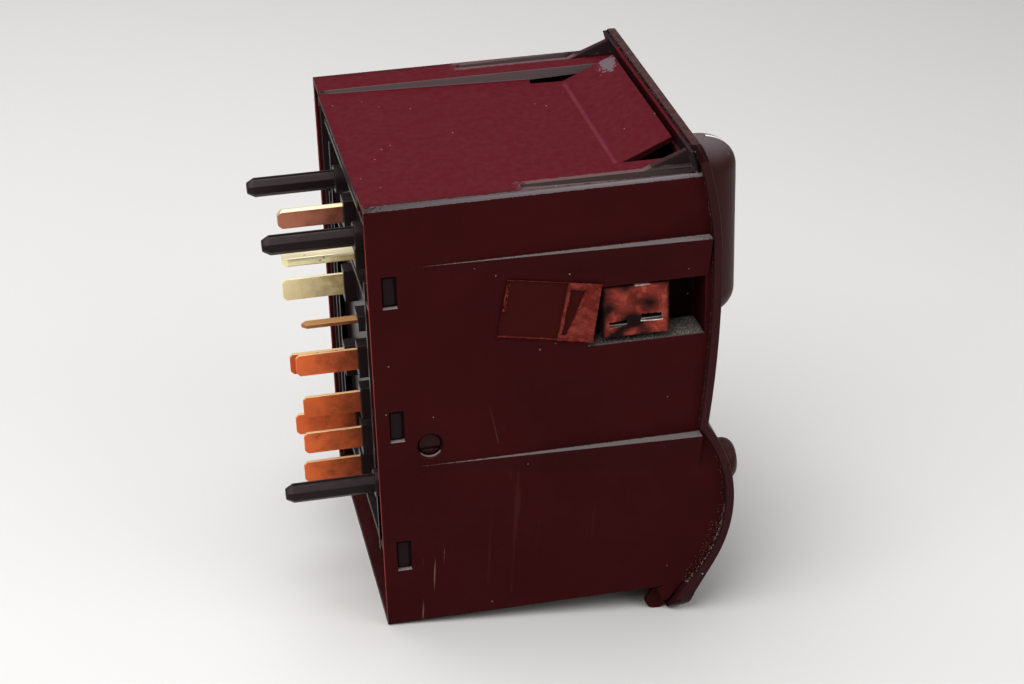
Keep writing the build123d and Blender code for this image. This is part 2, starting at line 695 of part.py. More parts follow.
with BuildPart() as chassis_screws:
    long_half, short_half, floor = SCREW_CROSS
    cross_x = (CHASSIS_REAR - SCREW_HEAD - PAST, CHASSIS_REAR - floor)
    for y, z in SCREWS:
        rod((CHASSIS_REAR - SCREW_HEAD, CHASSIS_REAR), y, z, SCREW_HEAD_R)
        rod((CHASSIS_REAR - JOIN, SCREW_END), y, z, SCREW_R)
        for half_y, half_z in ((long_half, short_half), (short_half, long_half)):
            block(cross_x, (y - half_y, y + half_y), (z - half_z, z + half_z), Mode.SUBTRACT)
finish(chassis_screws, "chassis_screws")

# ---------------------------------------------------------------- knob, pointer and shaft
with BuildPart() as grip_core:
    with BuildSketch(Plane.YZ):
        SlotOverall(2 * GRIP_HALF_L, 2 * GRIP_HALF_W, rotation=90)
    extrude(amount=(GRIP_FRONT - SKIRT_REAR) / GRIP_STRETCH)
    fillet(grip_core.faces().sort_by(Axis.X)[-1].edges(), radius=GRIP_ROUND / GRIP_STRETCH)
    scale(by=(GRIP_STRETCH, 1, 1))

grip_solid = grip_core.part.moved(Location((SKIRT_REAR, 0, KNOB_Z)))

with BuildPart() as pointer_inlay:
    add(grip_solid)
    block(
        (POINTER_REAR, POINTER_PAST),
        (-POINTER / 2, POINTER / 2),
        (KNOB_Z + POINTER_LOW, POINTER_PAST),
        Mode.INTERSECT,
    )
    add(grip_solid.moved(Location((-POINTER_DEPTH, 0, -POINTER_DEPTH))), mode=Mode.SUBTRACT)
finish(pointer_inlay, "pointer_inlay")

with BuildPart() as knob:
    rod((SKIRT_REAR, SKIRT_FRONT), 0, KNOB_Z, GRIP_HALF_L)
    fillet(knob.faces().sort_by(Axis.X)[-1].edges(), radius=SKIRT_ROUND)
    add(grip_solid)
    hollow_x = (SKIRT_REAR - PAST, SKIRT_REAR + SKIRT_HOLLOW)
    rod(hollow_x, 0, KNOB_Z, GRIP_HALF_L - SKIRT_RIM, Mode.SUBTRACT)
    rod((SKIRT_REAR, SKIRT_REAR + SOCKET_L), 0, KNOB_Z, SHAFT_R + SOCKET_WALL)
    with BuildSketch(Plane.YZ.offset(SKIRT_REAR - PAST)):
        with Locations((0, KNOB_Z)):
            Circle(SHAFT_R)
        with Locations((0, KNOB_Z - SHAFT_R)):
            Rectangle(2 * SHAFT_R, SHAFT_FLAT, mode=Mode.SUBTRACT)
    extrude(amount=SHAFT_END - SKIRT_REAR + PAST, mode=Mode.SUBTRACT)
    add(pointer_inlay.part, mode=Mode.SUBTRACT)
finish(knob, "knob")

with BuildPart() as knob_shaft:
    rod((DRUM_REAR, DRUM_FRONT), 0, KNOB_Z, DRUM_R)
    rod((DRUM_FRONT, SHAFT_FLAT_X), 0, KNOB_Z, SHAFT_R)
    with BuildSketch(Plane.YZ.offset(SHAFT_FLAT_X)):
        with Locations((0, KNOB_Z)):
            Circle(SHAFT_R)
        with Locations((0, KNOB_Z - SHAFT_R)):
            Rectangle(2 * SHAFT_R, SHAFT_FLAT, mode=Mode.SUBTRACT)
    extrude(amount=SHAFT_END - SHAFT_FLAT_X)
    with BuildSketch(Plane.YZ.offset(STAR_X[0])):
        with Locations((0, KNOB_Z)):
            Circle(STAR_R)
            with PolarLocations(STAR_R + STAR_NOTCH_OUT, STAR_NOTCHES):
                Circle(STAR_NOTCH_R, mode=Mode.SUBTRACT)
    extrude(amount=STAR_X[1] - STAR_X[0])
finish(knob_shaft, "knob_shaft")

# Stamped wiper on the drum: a ring with three sprung fingers that reach back to the contact board
with BuildPart() as contact_wiper:
    rod((DRUM_REAR - WIPER, DRUM_REAR), 0, KNOB_Z, WIPER_R[1])
    rod((DRUM_REAR - PAST, DRUM_REAR + PAST), 0, KNOB_Z, WIPER_R[0], Mode.SUBTRACT)
    for angle in FINGER_ANGLES:
        y = FINGER_PITCH_R * cos(radians(angle))
        z = KNOB_Z + FINGER_PITCH_R * sin(radians(angle))
        rod((BOARD_REAR + BOARD + FINGER_GAP, DRUM_REAR - WIPER), y, z, FINGER_R)
finish(contact_wiper, "contact_wiper")

# Leaf spring that rides the star behind the chassis plate
with BuildPart() as detent_spring:
    leaf_z = KNOB_Z + STAR_R + LEAF_GAP
    leaf_x = (STAR_X[0] + LEAF_INSET, STAR_X[1] - LEAF_INSET)
    block(leaf_x, (-LEAF_HALF_L, LEAF_HALF_L), (leaf_z, leaf_z + LEAF))
    with BuildSketch(Plane.YZ.offset(leaf_x[0])):
        with Locations((0, leaf_z + LEAF / 2)):
            Circle(LEAF_NOSE_R)
    extrude(amount=LEAF_NOSE_L)
finish(detent_spring, "detent_spring")

# ---------------------------------------------------------------- lamp board and symbol windows
with BuildPart() as lamp_board:
    lamp_board_front = LAMP_BOARD_REAR + BOARD
    block((LAMP_BOARD_REAR, lamp_board_front), (-LAMP_BOARD_HALF_W, LAMP_BOARD_HALF_W), LAMP_BOARD_Z)
    hole_x = (LAMP_BOARD_REAR - PAST, lamp_board_front + PAST)
    rod(hole_x, 0, KNOB_Z, TUBE_R + LAMP_BOARD_PLAY, Mode.SUBTRACT)
finish(lamp_board, "lamp_board")

with BuildPart() as window_lamps:
    lamp_length, lamp_half_w, lamp_half_h = LAMP
    for angle in WINDOW_ANGLES:
        y = WINDOW_PITCH_R * sin(radians(angle))
        z = KNOB_Z + WINDOW_PITCH_R * cos(radians(angle))
        lamp_x = (lamp_board_front, lamp_board_front + lamp_length)
        block(lamp_x, (y - lamp_half_w, y + lamp_half_w), (z - lamp_half_h, z + lamp_half_h))
finish(window_lamps, "window_lamps")

with BuildPart() as symbol_windows:
    for angle in WINDOW_ANGLES:
        y = WINDOW_PITCH_R * sin(radians(angle))
        z = KNOB_Z + WINDOW_PITCH_R * cos(radians(angle))
        rod((GUIDE_REAR, front_x(z) + SKIN), y, z, WINDOW_R)
    with BuildSketch(Plane.YZ.offset(GUIDE_REAR)):
        with BuildLine():
            CenterArc((0, KNOB_Z), WINDOW_PITCH_R, 90 - WINDOW_ANGLES[-1], WINDOW_ANGLES[-1])
        trace(line_width=GUIDE_RING_W)
    extrude(amount=GUIDE_RING)
finish(symbol_windows, "symbol_windows")

# ---------------------------------------------------------------- thumbwheels
with BuildPart() as wheel_axle:
    cross_rod((-AXLE_HALF_L, AXLE_HALF_L), AXLE_X, AXLE_Z, AXLE_R)
finish(wheel_axle, "wheel_axle")

for side, wheel_name, track_name in (
    (-1, "dimmer_wheel", "dimmer_potentiometer"),
    (1, "leveller_wheel", "leveller_potentiometer"),
):
    low, high = sorted((side * WHEEL_Y[0], side * WHEEL_Y[1]))
    with BuildPart() as wheel:
        with BuildSketch(Plane.XZ.offset(-high)):
            with Locations((AXLE_X, AXLE_Z)):
                Circle(WHEEL_R)
                with PolarLocations(WHEEL_R + WHEEL_GROOVE_OUT, WHEEL_GROOVES):
                    Circle(WHEEL_GROOVE_R, mode=Mode.SUBTRACT)
        extrude(amount=high - low)
        for y_range in ((low - PAST, low + WHEEL_DISH), (high - WHEEL_DISH, high + PAST)):
            with BuildSketch(Plane.XZ.offset(-y_range[1])):
                with Locations((AXLE_X, AXLE_Z)):
                    Circle(WHEEL_R - WHEEL_RIM)
                    Circle(WHEEL_HUB_R, mode=Mode.SUBTRACT)
            extrude(amount=y_range[1] - y_range[0], mode=Mode.SUBTRACT)
        bore_r = AXLE_R + WHEEL_BORE_PLAY
        cross_rod((low - PAST, high + PAST), AXLE_X, AXLE_Z, bore_r, Mode.SUBTRACT)
    finish(wheel, wheel_name)

    low, high = sorted((side * TRACK_Y[0], side * TRACK_Y[1]))
    with BuildPart() as track:
        cross_rod((low, high), AXLE_X, AXLE_Z, TRACK_R)
        block((CHASSIS_FRONT, AXLE_X), (low, high), (AXLE_Z - TRACK_HALF_H, AXLE_Z + TRACK_HALF_H))
        cross_rod((low - PAST, high + PAST), AXLE_X, AXLE_Z, AXLE_R, Mode.SUBTRACT)
    finish(track, track_name)

# ---------------------------------------------------------------- fog lamp buttons
for side, lamp in ((-1, "rear_fog"), (1, "front_fog")):
    y = side * BUTTON_Y
    with BuildPart() as button:
        rod((BUTTON_REAR, BUTTON_FRONT), y, BUTTON_Z, BUTTON_R)
        fillet(button.faces().sort_by(Axis.X)[-1].edges(), radius=BUTTON_ROUND)
        key_half_h = BUTTON_R + KEY_REACH
        key_z = (BUTTON_Z - key_half_h, BUTTON_Z + key_half_h)
        block(KEY_X, (y - KEY_HALF_W, y + KEY_HALF_W), key_z)
        rod((BUTTON_STEM_END, BUTTON_REAR), y, BUTTON_Z, BUTTON_STEM_R)
    finish(button, f"{lamp}_button")

    with BuildPart() as microswitch:
        half_w, half_h = MICROSWITCH_HALF
        block(
            (CHASSIS_FRONT, MICROSWITCH_FRONT),
            (y - half_w, y + half_w),
            (BUTTON_Z - half_h, BUTTON_Z + half_h),
        )
        rod((MICROSWITCH_FRONT, PLUNGER_END), y, BUTTON_Z, PLUNGER_R)
    finish(microswitch, f"{lamp}_microswitch")

    with BuildPart() as spring:
        with BuildLine():
            Helix(pitch=COIL_PITCH, height=COIL_TURNS * COIL_PITCH, radius=COIL_R)
        with BuildSketch(Plane.XZ):
            with Locations((COIL_R, 0)):
                Circle(COIL_WIRE_R)
        sweep(is_frenet=True)
    spring.part.locate(Location((MICROSWITCH_FRONT + PLAY, y, BUTTON_Z), (0, 90, 0)))
    finish(spring, f"{lamp}_spring")

# ---------------------------------------------------------------- retaining clips
CLIP_FACE = HALF_W - PLAY
POCKET_BACK = HALF_W - POCKET_DEPTH

for side, name in ((-1, "near_clip"), (1, "far_clip")):
    face = sorted((side * CLIP_FACE, side * (CLIP_FACE - CLIP)))
    with BuildPart() as clip:
        block(CLIP_X, face, CLIP_Z)
        reach = sorted((side * CLIP_FACE, side * POCKET_BACK))
        block((CLIP_X[0], CLIP_X[0] + CLIP), reach, CLIP_Z)
        foot = sorted((side * (POCKET_BACK + CLIP), side * POCKET_BACK))
        block((CLIP_X[0], CLIP_X[1] - CLIP_FOOT_SHORT), foot, CLIP_Z)
        return_leg = sorted((side * CLIP_FACE, side * (HALF_W - CLIP_RETURN)))
        block((CLIP_X[1] - CLIP, CLIP_X[1]), return_leg, CLIP_Z)
        through = sorted((side * (CLIP_FACE + PAST), side * (CLIP_FACE - CLIP - PAST)))
        for slot_x, slot_z in CLIP_SLOTS:
            block(slot_x, through, slot_z, Mode.SUBTRACT)
    finish(clip, name)

# Adhesive film: a sleeve torn open over the clip's slots, and the patch that runs back over the wall
with BuildPart() as clip_film:
    skin_y = (-CLIP_FACE - FILM, -CLIP_FACE + CLIP + FILM)
    block((CLIP_X[0] - FILM, CLIP_X[1] + FILM), skin_y, (CLIP_Z[0] - FILM, CLIP_Z[1] + FILM))
    block(CLIP_X, (-CLIP_FACE, -CLIP_FACE + CLIP), CLIP_Z, Mode.SUBTRACT)
    for x in (CLIP_X[0], CLIP_X[1] - CLIP):
        block((x, x + CLIP), (-CLIP_FACE, FILM_CUT_Y), CLIP_Z, Mode.SUBTRACT)
    for tear_x, tear_z in FILM_TEARS:
        block(tear_x, (-HALF_W - PAST, -CLIP_FACE), tear_z, Mode.SUBTRACT)
finish(clip_film, "clip_film")

with BuildPart() as wall_film:
    plate(WALL_FILM_OUTLINE, (-HALF_W - WALL_FILM, -HALF_W))
finish(wall_film, "wall_film")
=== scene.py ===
"""Looks of a car light switch: moulded plastic, tarnished blades, torn film and dust."""
import json
import logging
import math
from dataclasses import dataclass
from enum import Enum
from typing import Optional, Sequence

import bmesh
import bpy
from mathutils import Matrix, Vector, noise


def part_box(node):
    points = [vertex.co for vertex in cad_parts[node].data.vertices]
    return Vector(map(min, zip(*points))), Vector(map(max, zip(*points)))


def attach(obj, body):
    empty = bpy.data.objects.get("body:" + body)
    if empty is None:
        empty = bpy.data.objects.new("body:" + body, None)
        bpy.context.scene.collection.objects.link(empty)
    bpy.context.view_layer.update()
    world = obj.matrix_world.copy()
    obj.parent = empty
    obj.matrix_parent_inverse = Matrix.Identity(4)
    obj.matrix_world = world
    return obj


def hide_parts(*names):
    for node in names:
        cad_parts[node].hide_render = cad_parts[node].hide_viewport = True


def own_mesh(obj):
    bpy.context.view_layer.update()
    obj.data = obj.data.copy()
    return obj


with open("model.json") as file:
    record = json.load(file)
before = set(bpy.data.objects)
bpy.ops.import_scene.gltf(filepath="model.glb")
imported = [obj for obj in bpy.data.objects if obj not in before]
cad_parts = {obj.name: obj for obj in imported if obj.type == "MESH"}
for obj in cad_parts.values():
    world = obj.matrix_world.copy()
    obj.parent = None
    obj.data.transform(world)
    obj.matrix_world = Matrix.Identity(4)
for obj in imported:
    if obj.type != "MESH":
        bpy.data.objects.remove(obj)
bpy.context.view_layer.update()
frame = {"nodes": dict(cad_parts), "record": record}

LOG = logging.getLogger("light_switch")
MM = 0.001
MERGE_M = 2e-6
GRAIN_HEIGHT_M = 0.00006
Colour = tuple[float, float, float]
Point = tuple[float, float, float]
Ribbon = tuple[tuple[Point, Point], ...]
Socket = bpy.types.NodeSocket
Sockets = bpy.types.bpy_prop_collection


def srgb(red: int, green: int, blue: int) -> Colour:
    """Turns a screen colour into the linear values that shaders use.

    Args:
        red: Red, 0 to 255.
        green: Green, 0 to 255.
        blue: Blue, 0 to 255.

    Returns:
        The linear colour.
    """

    def channel(value: int) -> float:
        """Linear value of one channel."""
        part = value / 255.0
        return part / 12.92 if part <= 0.04045 else ((part + 0.055) / 1.055) ** 2.4

    return channel(red), channel(green), channel(blue)


class Graph:
    """A node tree under construction, shader or geometry, with short calls to add and join nodes."""

    def __init__(self, tree: bpy.types.NodeTree) -> None:
        """Keeps the tree that nodes are added to."""
        self.tree = tree

    def add(self, kind: str, **settings: object) -> bpy.types.Node:
        """Adds a node.

        Args:
            kind: Blender's name of the node type.
            settings: Node properties, or with the prefix "i_" values of inputs, by name.

        Returns:
            The new node.
        """
        node = self.tree.nodes.new(kind)
        for key, value in settings.items():
            if key.startswith("i_"):
                node.inputs[key[2:].replace("_", " ")].default_value = value
            else:
                setattr(node, key, value)
        return node

    def join(self, source: Socket, target: Socket) -> None:
        """Links an output to an input."""
        self.tree.links.new(source, target)

    def feed(self, target: Socket, operand: object) -> None:
        """Gives an input a socket, a colour, a number, or nothing for None.

        Args:
            target: The input.
            operand: What feeds it.
        """
        if isinstance(operand, bpy.types.NodeSocket):
            self.join(operand, target)
        elif operand is not None:
            target.default_value = (*operand, 1.0) if isinstance(operand, tuple) else operand

    def math(self, operation: str, first: object, second: object = None, clamp: bool = False) -> Socket:
        """Adds a Math node fed by sockets or numbers.

        Args:
            operation: The Math node's operation.
            first: First operand.
            second: Second operand, if the operation has one.
            clamp: Whether the result is kept between 0 and 1.

        Returns:
            The node's output.
        """
        node = self.add("ShaderNodeMath", operation=operation, use_clamp=clamp)
        for socket, operand in zip(node.inputs, (first, second)):
            self.feed(socket, operand)
        return node.outputs[0]

    def times(self, first: object, second: object, clamp: bool = False) -> Socket:
        """Multiplies two sockets or numbers."""
        return self.math("MULTIPLY", first, second, clamp)

    def plus(self, first: object, second: object, clamp: bool = False) -> Socket:
        """Adds two sockets or numbers."""
        return self.math("ADD", first, second, clamp)

    def vector(self, operation: str, first: Socket, second: Optional[Socket] = None) -> Socket:
        """Adds a Vector Math node.

        Args:
            operation: The node's operation.
            first: First operand.
            second: Second operand, if the operation has one.

        Returns:
            The node's output.
        """
        node = self.add("ShaderNodeVectorMath", operation=operation)
        for socket, operand in zip(node.inputs, (first, second)):
            self.feed(socket, operand)
        return node.outputs["Value" if operation == "DOT_PRODUCT" else "Vector"]

    def blend(self, factor: object, low: object, high: object) -> Socket:
        """Mixes two colours.

        Args:
            factor: Mask socket or number.
            low: Colour or socket where the mask is 0.
            high: Colour or socket where the mask is 1.

        Returns:
            The mixed colour.
        """
        node = self.add("ShaderNodeMix", data_type="RGBA")
        factor_input, low_input, high_input = node.inputs[0], node.inputs[6], node.inputs[7]
        self.feed(factor_input, factor)
        self.feed(low_input, low)
        self.feed(high_input, high)
        return node.outputs[2]

    def ramp(self, value: Socket, low: object, high: object) -> Socket:
        """Smoothly maps low..high to 0..1.

        Args:
            value: The value to map.
            low: Value or socket that gives 0.
            high: Value or socket that gives 1.

        Returns:
            The mapped value.
        """
        node = self.add("ShaderNodeMapRange", interpolation_type="SMOOTHSTEP", clamp=True)
        self.join(value, node.inputs["Value"])
        self.feed(node.inputs["From Min"], low)
        self.feed(node.inputs["From Max"], high)
        return node.outputs["Result"]

    def place(self) -> Socket:
        """Object coordinates."""
        return self.add("ShaderNodeTexCoord").outputs["Object"]

    def normal(self) -> Socket:
        """Direction that the surface faces."""
        return self.add("ShaderNodeNewGeometry").outputs["Normal"]

    def split(self, vector: Socket) -> Sockets:
        """X, Y and Z of a vector.

        Args:
            vector: The vector.

        Returns:
            The three outputs, by name or number.
        """
        node = self.add("ShaderNodeSeparateXYZ")
        self.join(vector, node.inputs[0])
        return node.outputs

    def cloud(self, scale: object, **settings: object) -> Socket:
        """Adds noise that stays with the object.

        Args:
            scale: Scale of the noise, a number or a socket.
            settings: The noise's other inputs, as add takes them.

        Returns:
            The noise.
        """
        node = self.add("ShaderNodeTexNoise", **settings)
        self.join(self.place(), node.inputs["Vector"])
        self.feed(node.inputs["Scale"], scale)
        return node.outputs[0]

    def specks(self, scale: Socket, channel: int, rarity: float, size: float) -> Socket:
        """Adds small dots in a few cells of a Voronoi texture.

        Args:
            scale: Scale of the cells.
            channel: Channel of the cells' random colours that chooses cells.
            rarity: Share of the cells that get no dot.
            size: Size of a dot, as a share of a cell.

        Returns:
            The mask of the dots.
        """
        cells = self.add("ShaderNodeTexVoronoi", feature="F1")
        self.join(self.place(), cells.inputs["Vector"])
        self.join(scale, cells.inputs["Scale"])
        tint = self.add("ShaderNodeSeparateColor")
        self.join(cells.outputs["Color"], tint.inputs[0])
        chosen = self.math("GREATER_THAN", tint.outputs[channel], rarity)
        return self.times(chosen, self.math("LESS_THAN", cells.outputs["Distance"], size))


class Effects:
    """Shader node groups that several finishes share, each built once."""

    def __init__(self) -> None:
        """Builds every group."""
        self.grain = self._grain()
        self.dust = self._dust()
        self.patch = self._patch()
        self.scuffs = self._scuffs()
        self.tarnish = self._tarnish()
        self.facing = self._facing()

    @staticmethod
    def _start(
        name: str, inputs: dict[str, object], outputs: Sequence[str]
    ) -> tuple[Graph, Sockets, Sockets]:
        """Creates an empty group with its sockets.

        Args:
            name: Name of the group.
            inputs: Default of each input, by name: a number or a vector.
            outputs: Names of the outputs, of which Normal is a vector and any other a number.

        Returns:
            The group's graph, the sockets that bring its inputs, and those that take its outputs.
        """
        tree = bpy.data.node_groups.new(name, "ShaderNodeTree")
        for label, value in inputs.items():
            kind = "NodeSocketVector" if isinstance(value, tuple) else "NodeSocketFloat"
            tree.interface.new_socket(label, in_out="INPUT", socket_type=kind).default_value = value
        for label in outputs:
            kind = "NodeSocketVector" if label == "Normal" else "NodeSocketFloat"
            tree.interface.new_socket(label, in_out="OUTPUT", socket_type=kind)
        g = Graph(tree)
        return g, g.add("NodeGroupInput").outputs, g.add("NodeGroupOutput").inputs

    def _grain(self) -> bpy.types.NodeTree:
        """Fine moulded texture: a normal.

        Returns:
            The group.
        """
        g, given, result = self._start("moulded_grain", {"Scale": 4000.0, "Depth": 0.1}, ("Normal",))
        fine = g.cloud(given["Scale"], i_Detail=3.0, i_Roughness=0.6)
        coarse = g.cloud(g.times(given["Scale"], 0.07), i_Detail=2.0)
        bump = g.add("ShaderNodeBump", i_Distance=GRAIN_HEIGHT_M)
        g.join(g.plus(fine, g.times(coarse, 1.4)), bump.inputs["Height"])
        g.join(given["Depth"], bump.inputs["Strength"])
        g.join(bump.outputs["Normal"], result["Normal"])
        return g.tree

    def _dust(self) -> bpy.types.NodeTree:
        """Dust that settles on surfaces that face up: a mask, and specks on any surface.

        Returns:
            The group.
        """
        g, given, result = self._start("settled_dust", {"Amount": 0.3, "Scale": 600.0}, ("Mask", "Specks"))
        up = g.ramp(g.split(g.normal())["Z"], low=0.55, high=0.95)
        cloud = g.cloud(given["Scale"], i_Detail=4.0, i_Roughness=0.65)
        spread = g.times(up, g.ramp(cloud, low=0.3, high=0.75))
        g.join(g.times(spread, given["Amount"], clamp=True), result["Mask"])
        cells = g.times(given["Scale"], 1.6)
        g.join(g.specks(cells, channel=0, rarity=0.985, size=0.15), result["Specks"])
        return g.tree

    def _facing(self) -> bpy.types.NodeTree:
        """Surfaces that face one way, such as ledge tops: a mask.

        Returns:
            The group.
        """
        inputs = {"Direction": (0.0, 0.0, 1.0), "Low": 0.9, "High": 0.99}
        g, given, result = self._start("facing", inputs, ("Mask",))
        along = g.vector("DOT_PRODUCT", g.normal(), given["Direction"])
        g.join(g.ramp(along, given["Low"], given["High"]), result["Mask"])
        return g.tree

    def _patch(self) -> bpy.types.NodeTree:
        """A ragged box-shaped patch in object space: a mask.

        Returns:
            The group.
        """
        inputs = {"Centre": (0.0, 0.0, 0.0), "Half Size": (0.01, 0.01, 0.01), "Ragged": 0.3, "Scale": 500.0}
        g, given, result = self._start("ragged_patch", inputs, ("Mask",))
        offset = g.vector("SUBTRACT", g.place(), given["Centre"])
        ratio = g.vector("ABSOLUTE", g.vector("DIVIDE", offset, given["Half Size"]))
        x, y, z = g.split(ratio)
        reach = g.math("MAXIMUM", g.math("MAXIMUM", x, y), z)
        cloud = g.cloud(given["Scale"], i_Detail=5.0, i_Roughness=0.7)
        shift = g.times(g.math("SUBTRACT", cloud, 0.5), given["Ragged"])
        edge = g.plus(reach, g.times(shift, 4.0))
        g.join(g.math("SUBTRACT", 1.0, g.ramp(edge, low=0.85, high=1.0)), result["Mask"])
        return g.tree

    def _scuffs(self) -> bpy.types.NodeTree:
        """Thin scratches along one direction: a mask.

        Returns:
            The group.
        """
        inputs = {"Turn": (0.0, 0.0, 0.0), "Stretch": (40.0, 900.0, 900.0), "Level": 0.66}
        g, given, result = self._start("scuff_lines", inputs, ("Mask",))
        turn = g.add("ShaderNodeVectorRotate", rotation_type="EULER_XYZ")
        g.join(g.place(), turn.inputs["Vector"])
        g.join(given["Turn"], turn.inputs["Rotation"])
        lines = g.add("ShaderNodeTexNoise", i_Scale=1.0, i_Detail=2.0)
        g.join(g.vector("MULTIPLY", turn.outputs[0], given["Stretch"]), lines.inputs["Vector"])
        over = g.math("SUBTRACT", lines.outputs[0], given["Level"])
        g.join(g.times(over, 14.0, clamp=True), result["Mask"])
        return g.tree

    def _tarnish(self) -> bpy.types.NodeTree:
        """Dark film on bare metal that thickens towards one end: a mask, and spots.

        Returns:
            The group.
        """
        inputs = {"From X": -0.01, "To X": 0.0, "Scale": 300.0}
        g, given, result = self._start("tarnish", inputs, ("Mask", "Spots"))
        gone = g.math("SUBTRACT", g.split(g.place())["X"], given["From X"])
        length = g.math("SUBTRACT", given["To X"], given["From X"])
        along = g.math("DIVIDE", gone, length, clamp=True)
        cloud = g.cloud(given["Scale"], i_Detail=5.0, i_Roughness=0.65)
        mixed = g.plus(g.times(along, 0.55), g.times(cloud, 0.7))
        g.join(g.ramp(mixed, low=0.35, high=0.90), result["Mask"])
        cells = g.times(given["Scale"], 2.6)
        g.join(g.specks(cells, channel=1, rarity=0.9, size=0.22), result["Spots"])
        return g.tree


def new_material(name: str) -> tuple[bpy.types.Material, Graph, Sockets]:
    """Creates a material.

    Args:
        name: Name of the material.

    Returns:
        The material, its graph and the inputs of its shader.
    """
    material = bpy.data.materials.new(name)
    material.use_nodes = True
    g = Graph(material.node_tree)
    return material, g, g.tree.nodes["Principled BSDF"].inputs


@dataclass(frozen=True)
class Mark:
    """A patch of colour on a piece, in millimetres, on every face or on those that face one way: wear,
    dirt, painted highlights, painted reflections and painted shade.

    Ragged and scale shape its broken edge. Reach is the pair of cosines, to the way that its faces
    face, between which the patch goes from none to full.
    """

    centre: Point
    half: Point
    ragged: float
    scale: float
    colour: Colour
    strength: float
    facing: Optional[Point] = None
    reach: tuple[float, float] = (0.8, 0.97)

    def mask(self, g: Graph, effects: Effects) -> Socket:
        """Adds the nodes of this patch.

        Args:
            g: The material's graph.
            effects: The shared shader groups.

        Returns:
            The mask, scaled by the patch's strength.
        """
        patch = g.add("ShaderNodeGroup", node_tree=effects.patch, i_Ragged=self.ragged, i_Scale=self.scale)
        patch.inputs["Centre"].default_value = tuple(c * MM for c in self.centre)
        patch.inputs["Half Size"].default_value = tuple(c * MM for c in self.half)
        mask = g.times(patch.outputs["Mask"], self.strength)
        if self.facing:
            low, high = self.reach
            facing = g.add(
                "ShaderNodeGroup", node_tree=effects.facing, i_Direction=self.facing, i_Low=low, i_High=high
            )
            mask = g.times(mask, facing.outputs["Mask"])
        return mask


@dataclass(frozen=True)
class Scuff:
    """Thin scratches inside a box, in millimetres, turned about Y by an angle in degrees.

    Level is how much of the noise is cut away, so a higher one leaves fewer scratches.
    """

    centre: Point
    half: Point
    turn: float
    colour: Colour
    strength: float
    level: float
    ragged: float = 0.4
    scale: float = 150.0

    def mask(self, g: Graph, effects: Effects) -> Socket:
        """Adds the nodes of these scratches.

        Args:
            g: The material's graph.
            effects: The shared shader groups.

        Returns:
            The mask, scaled by its strength.
        """
        lines = g.add("ShaderNodeGroup", node_tree=effects.scuffs, i_Level=self.level)
        lines.inputs["Turn"].default_value = (0.0, math.radians(self.turn), 0.0)
        box = Mark(self.centre, self.half, self.ragged, self.scale, self.colour, self.strength)
        return g.times(lines.outputs["Mask"], box.mask(g, effects))


@dataclass(frozen=True)
class Plastic:
    """A moulded plastic finish."""

    name: str
    colour: Colour
    shade: Colour
    roughness: float
    grain_scale: float
    grain_depth: float
    dust: float = 0.0
    dust_colour: Colour = srgb(150, 140, 138)
    specular: float = 0.3
    gloss_tint: Colour = (1.0, 1.0, 1.0)
    specks: float = 0.0
    speck_colour: Colour = srgb(190, 180, 175)
    scuffs: tuple[Scuff, ...] = ()
    marks: tuple[Mark, ...] = ()
    cloud_scale: float = 45.0
    unevenness: float = 0.12
    mark_roughness: float = 0.25
    dust_roughness: float = 0.4

    def build(self, effects: Effects) -> bpy.types.Material:
        """Builds the material.

        Args:
            effects: The shared shader groups.

        Returns:
            The material.
        """
        material, g, shader = new_material(self.name)
        cloud = g.cloud(self.cloud_scale, i_Detail=4.0, i_Roughness=0.6)
        colour = g.blend(g.ramp(cloud, low=0.3, high=0.7), self.colour, self.shade)
        spread = g.times(cloud, self.unevenness)
        rough = g.plus(spread, self.roughness - self.unevenness / 2.0)
        for scuff in self.scuffs:
            colour = g.blend(scuff.mask(g, effects), colour, scuff.colour)
        for mark in self.marks:
            mask = mark.mask(g, effects)
            colour = g.blend(mask, colour, mark.colour)
            rough = g.plus(rough, g.times(mask, self.mark_roughness))
        if self.dust:
            dust = g.add("ShaderNodeGroup", node_tree=effects.dust, i_Amount=self.dust)
            settled = dust.outputs["Mask"]
            colour = g.blend(settled, colour, self.dust_colour)
            specks = g.times(dust.outputs["Specks"], self.specks)
            colour = g.blend(specks, colour, self.speck_colour)
            rough = g.plus(rough, g.times(settled, self.dust_roughness), clamp=True)
        grain = g.add(
            "ShaderNodeGroup", node_tree=effects.grain, i_Scale=self.grain_scale, i_Depth=self.grain_depth
        )
        g.join(colour, shader["Base Color"])
        g.join(rough, shader["Roughness"])
        g.join(grain.outputs["Normal"], shader["Normal"])
        shader["Specular IOR Level"].default_value = self.specular
        shader["Specular Tint"].default_value = (*self.gloss_tint, 1.0)
        return material


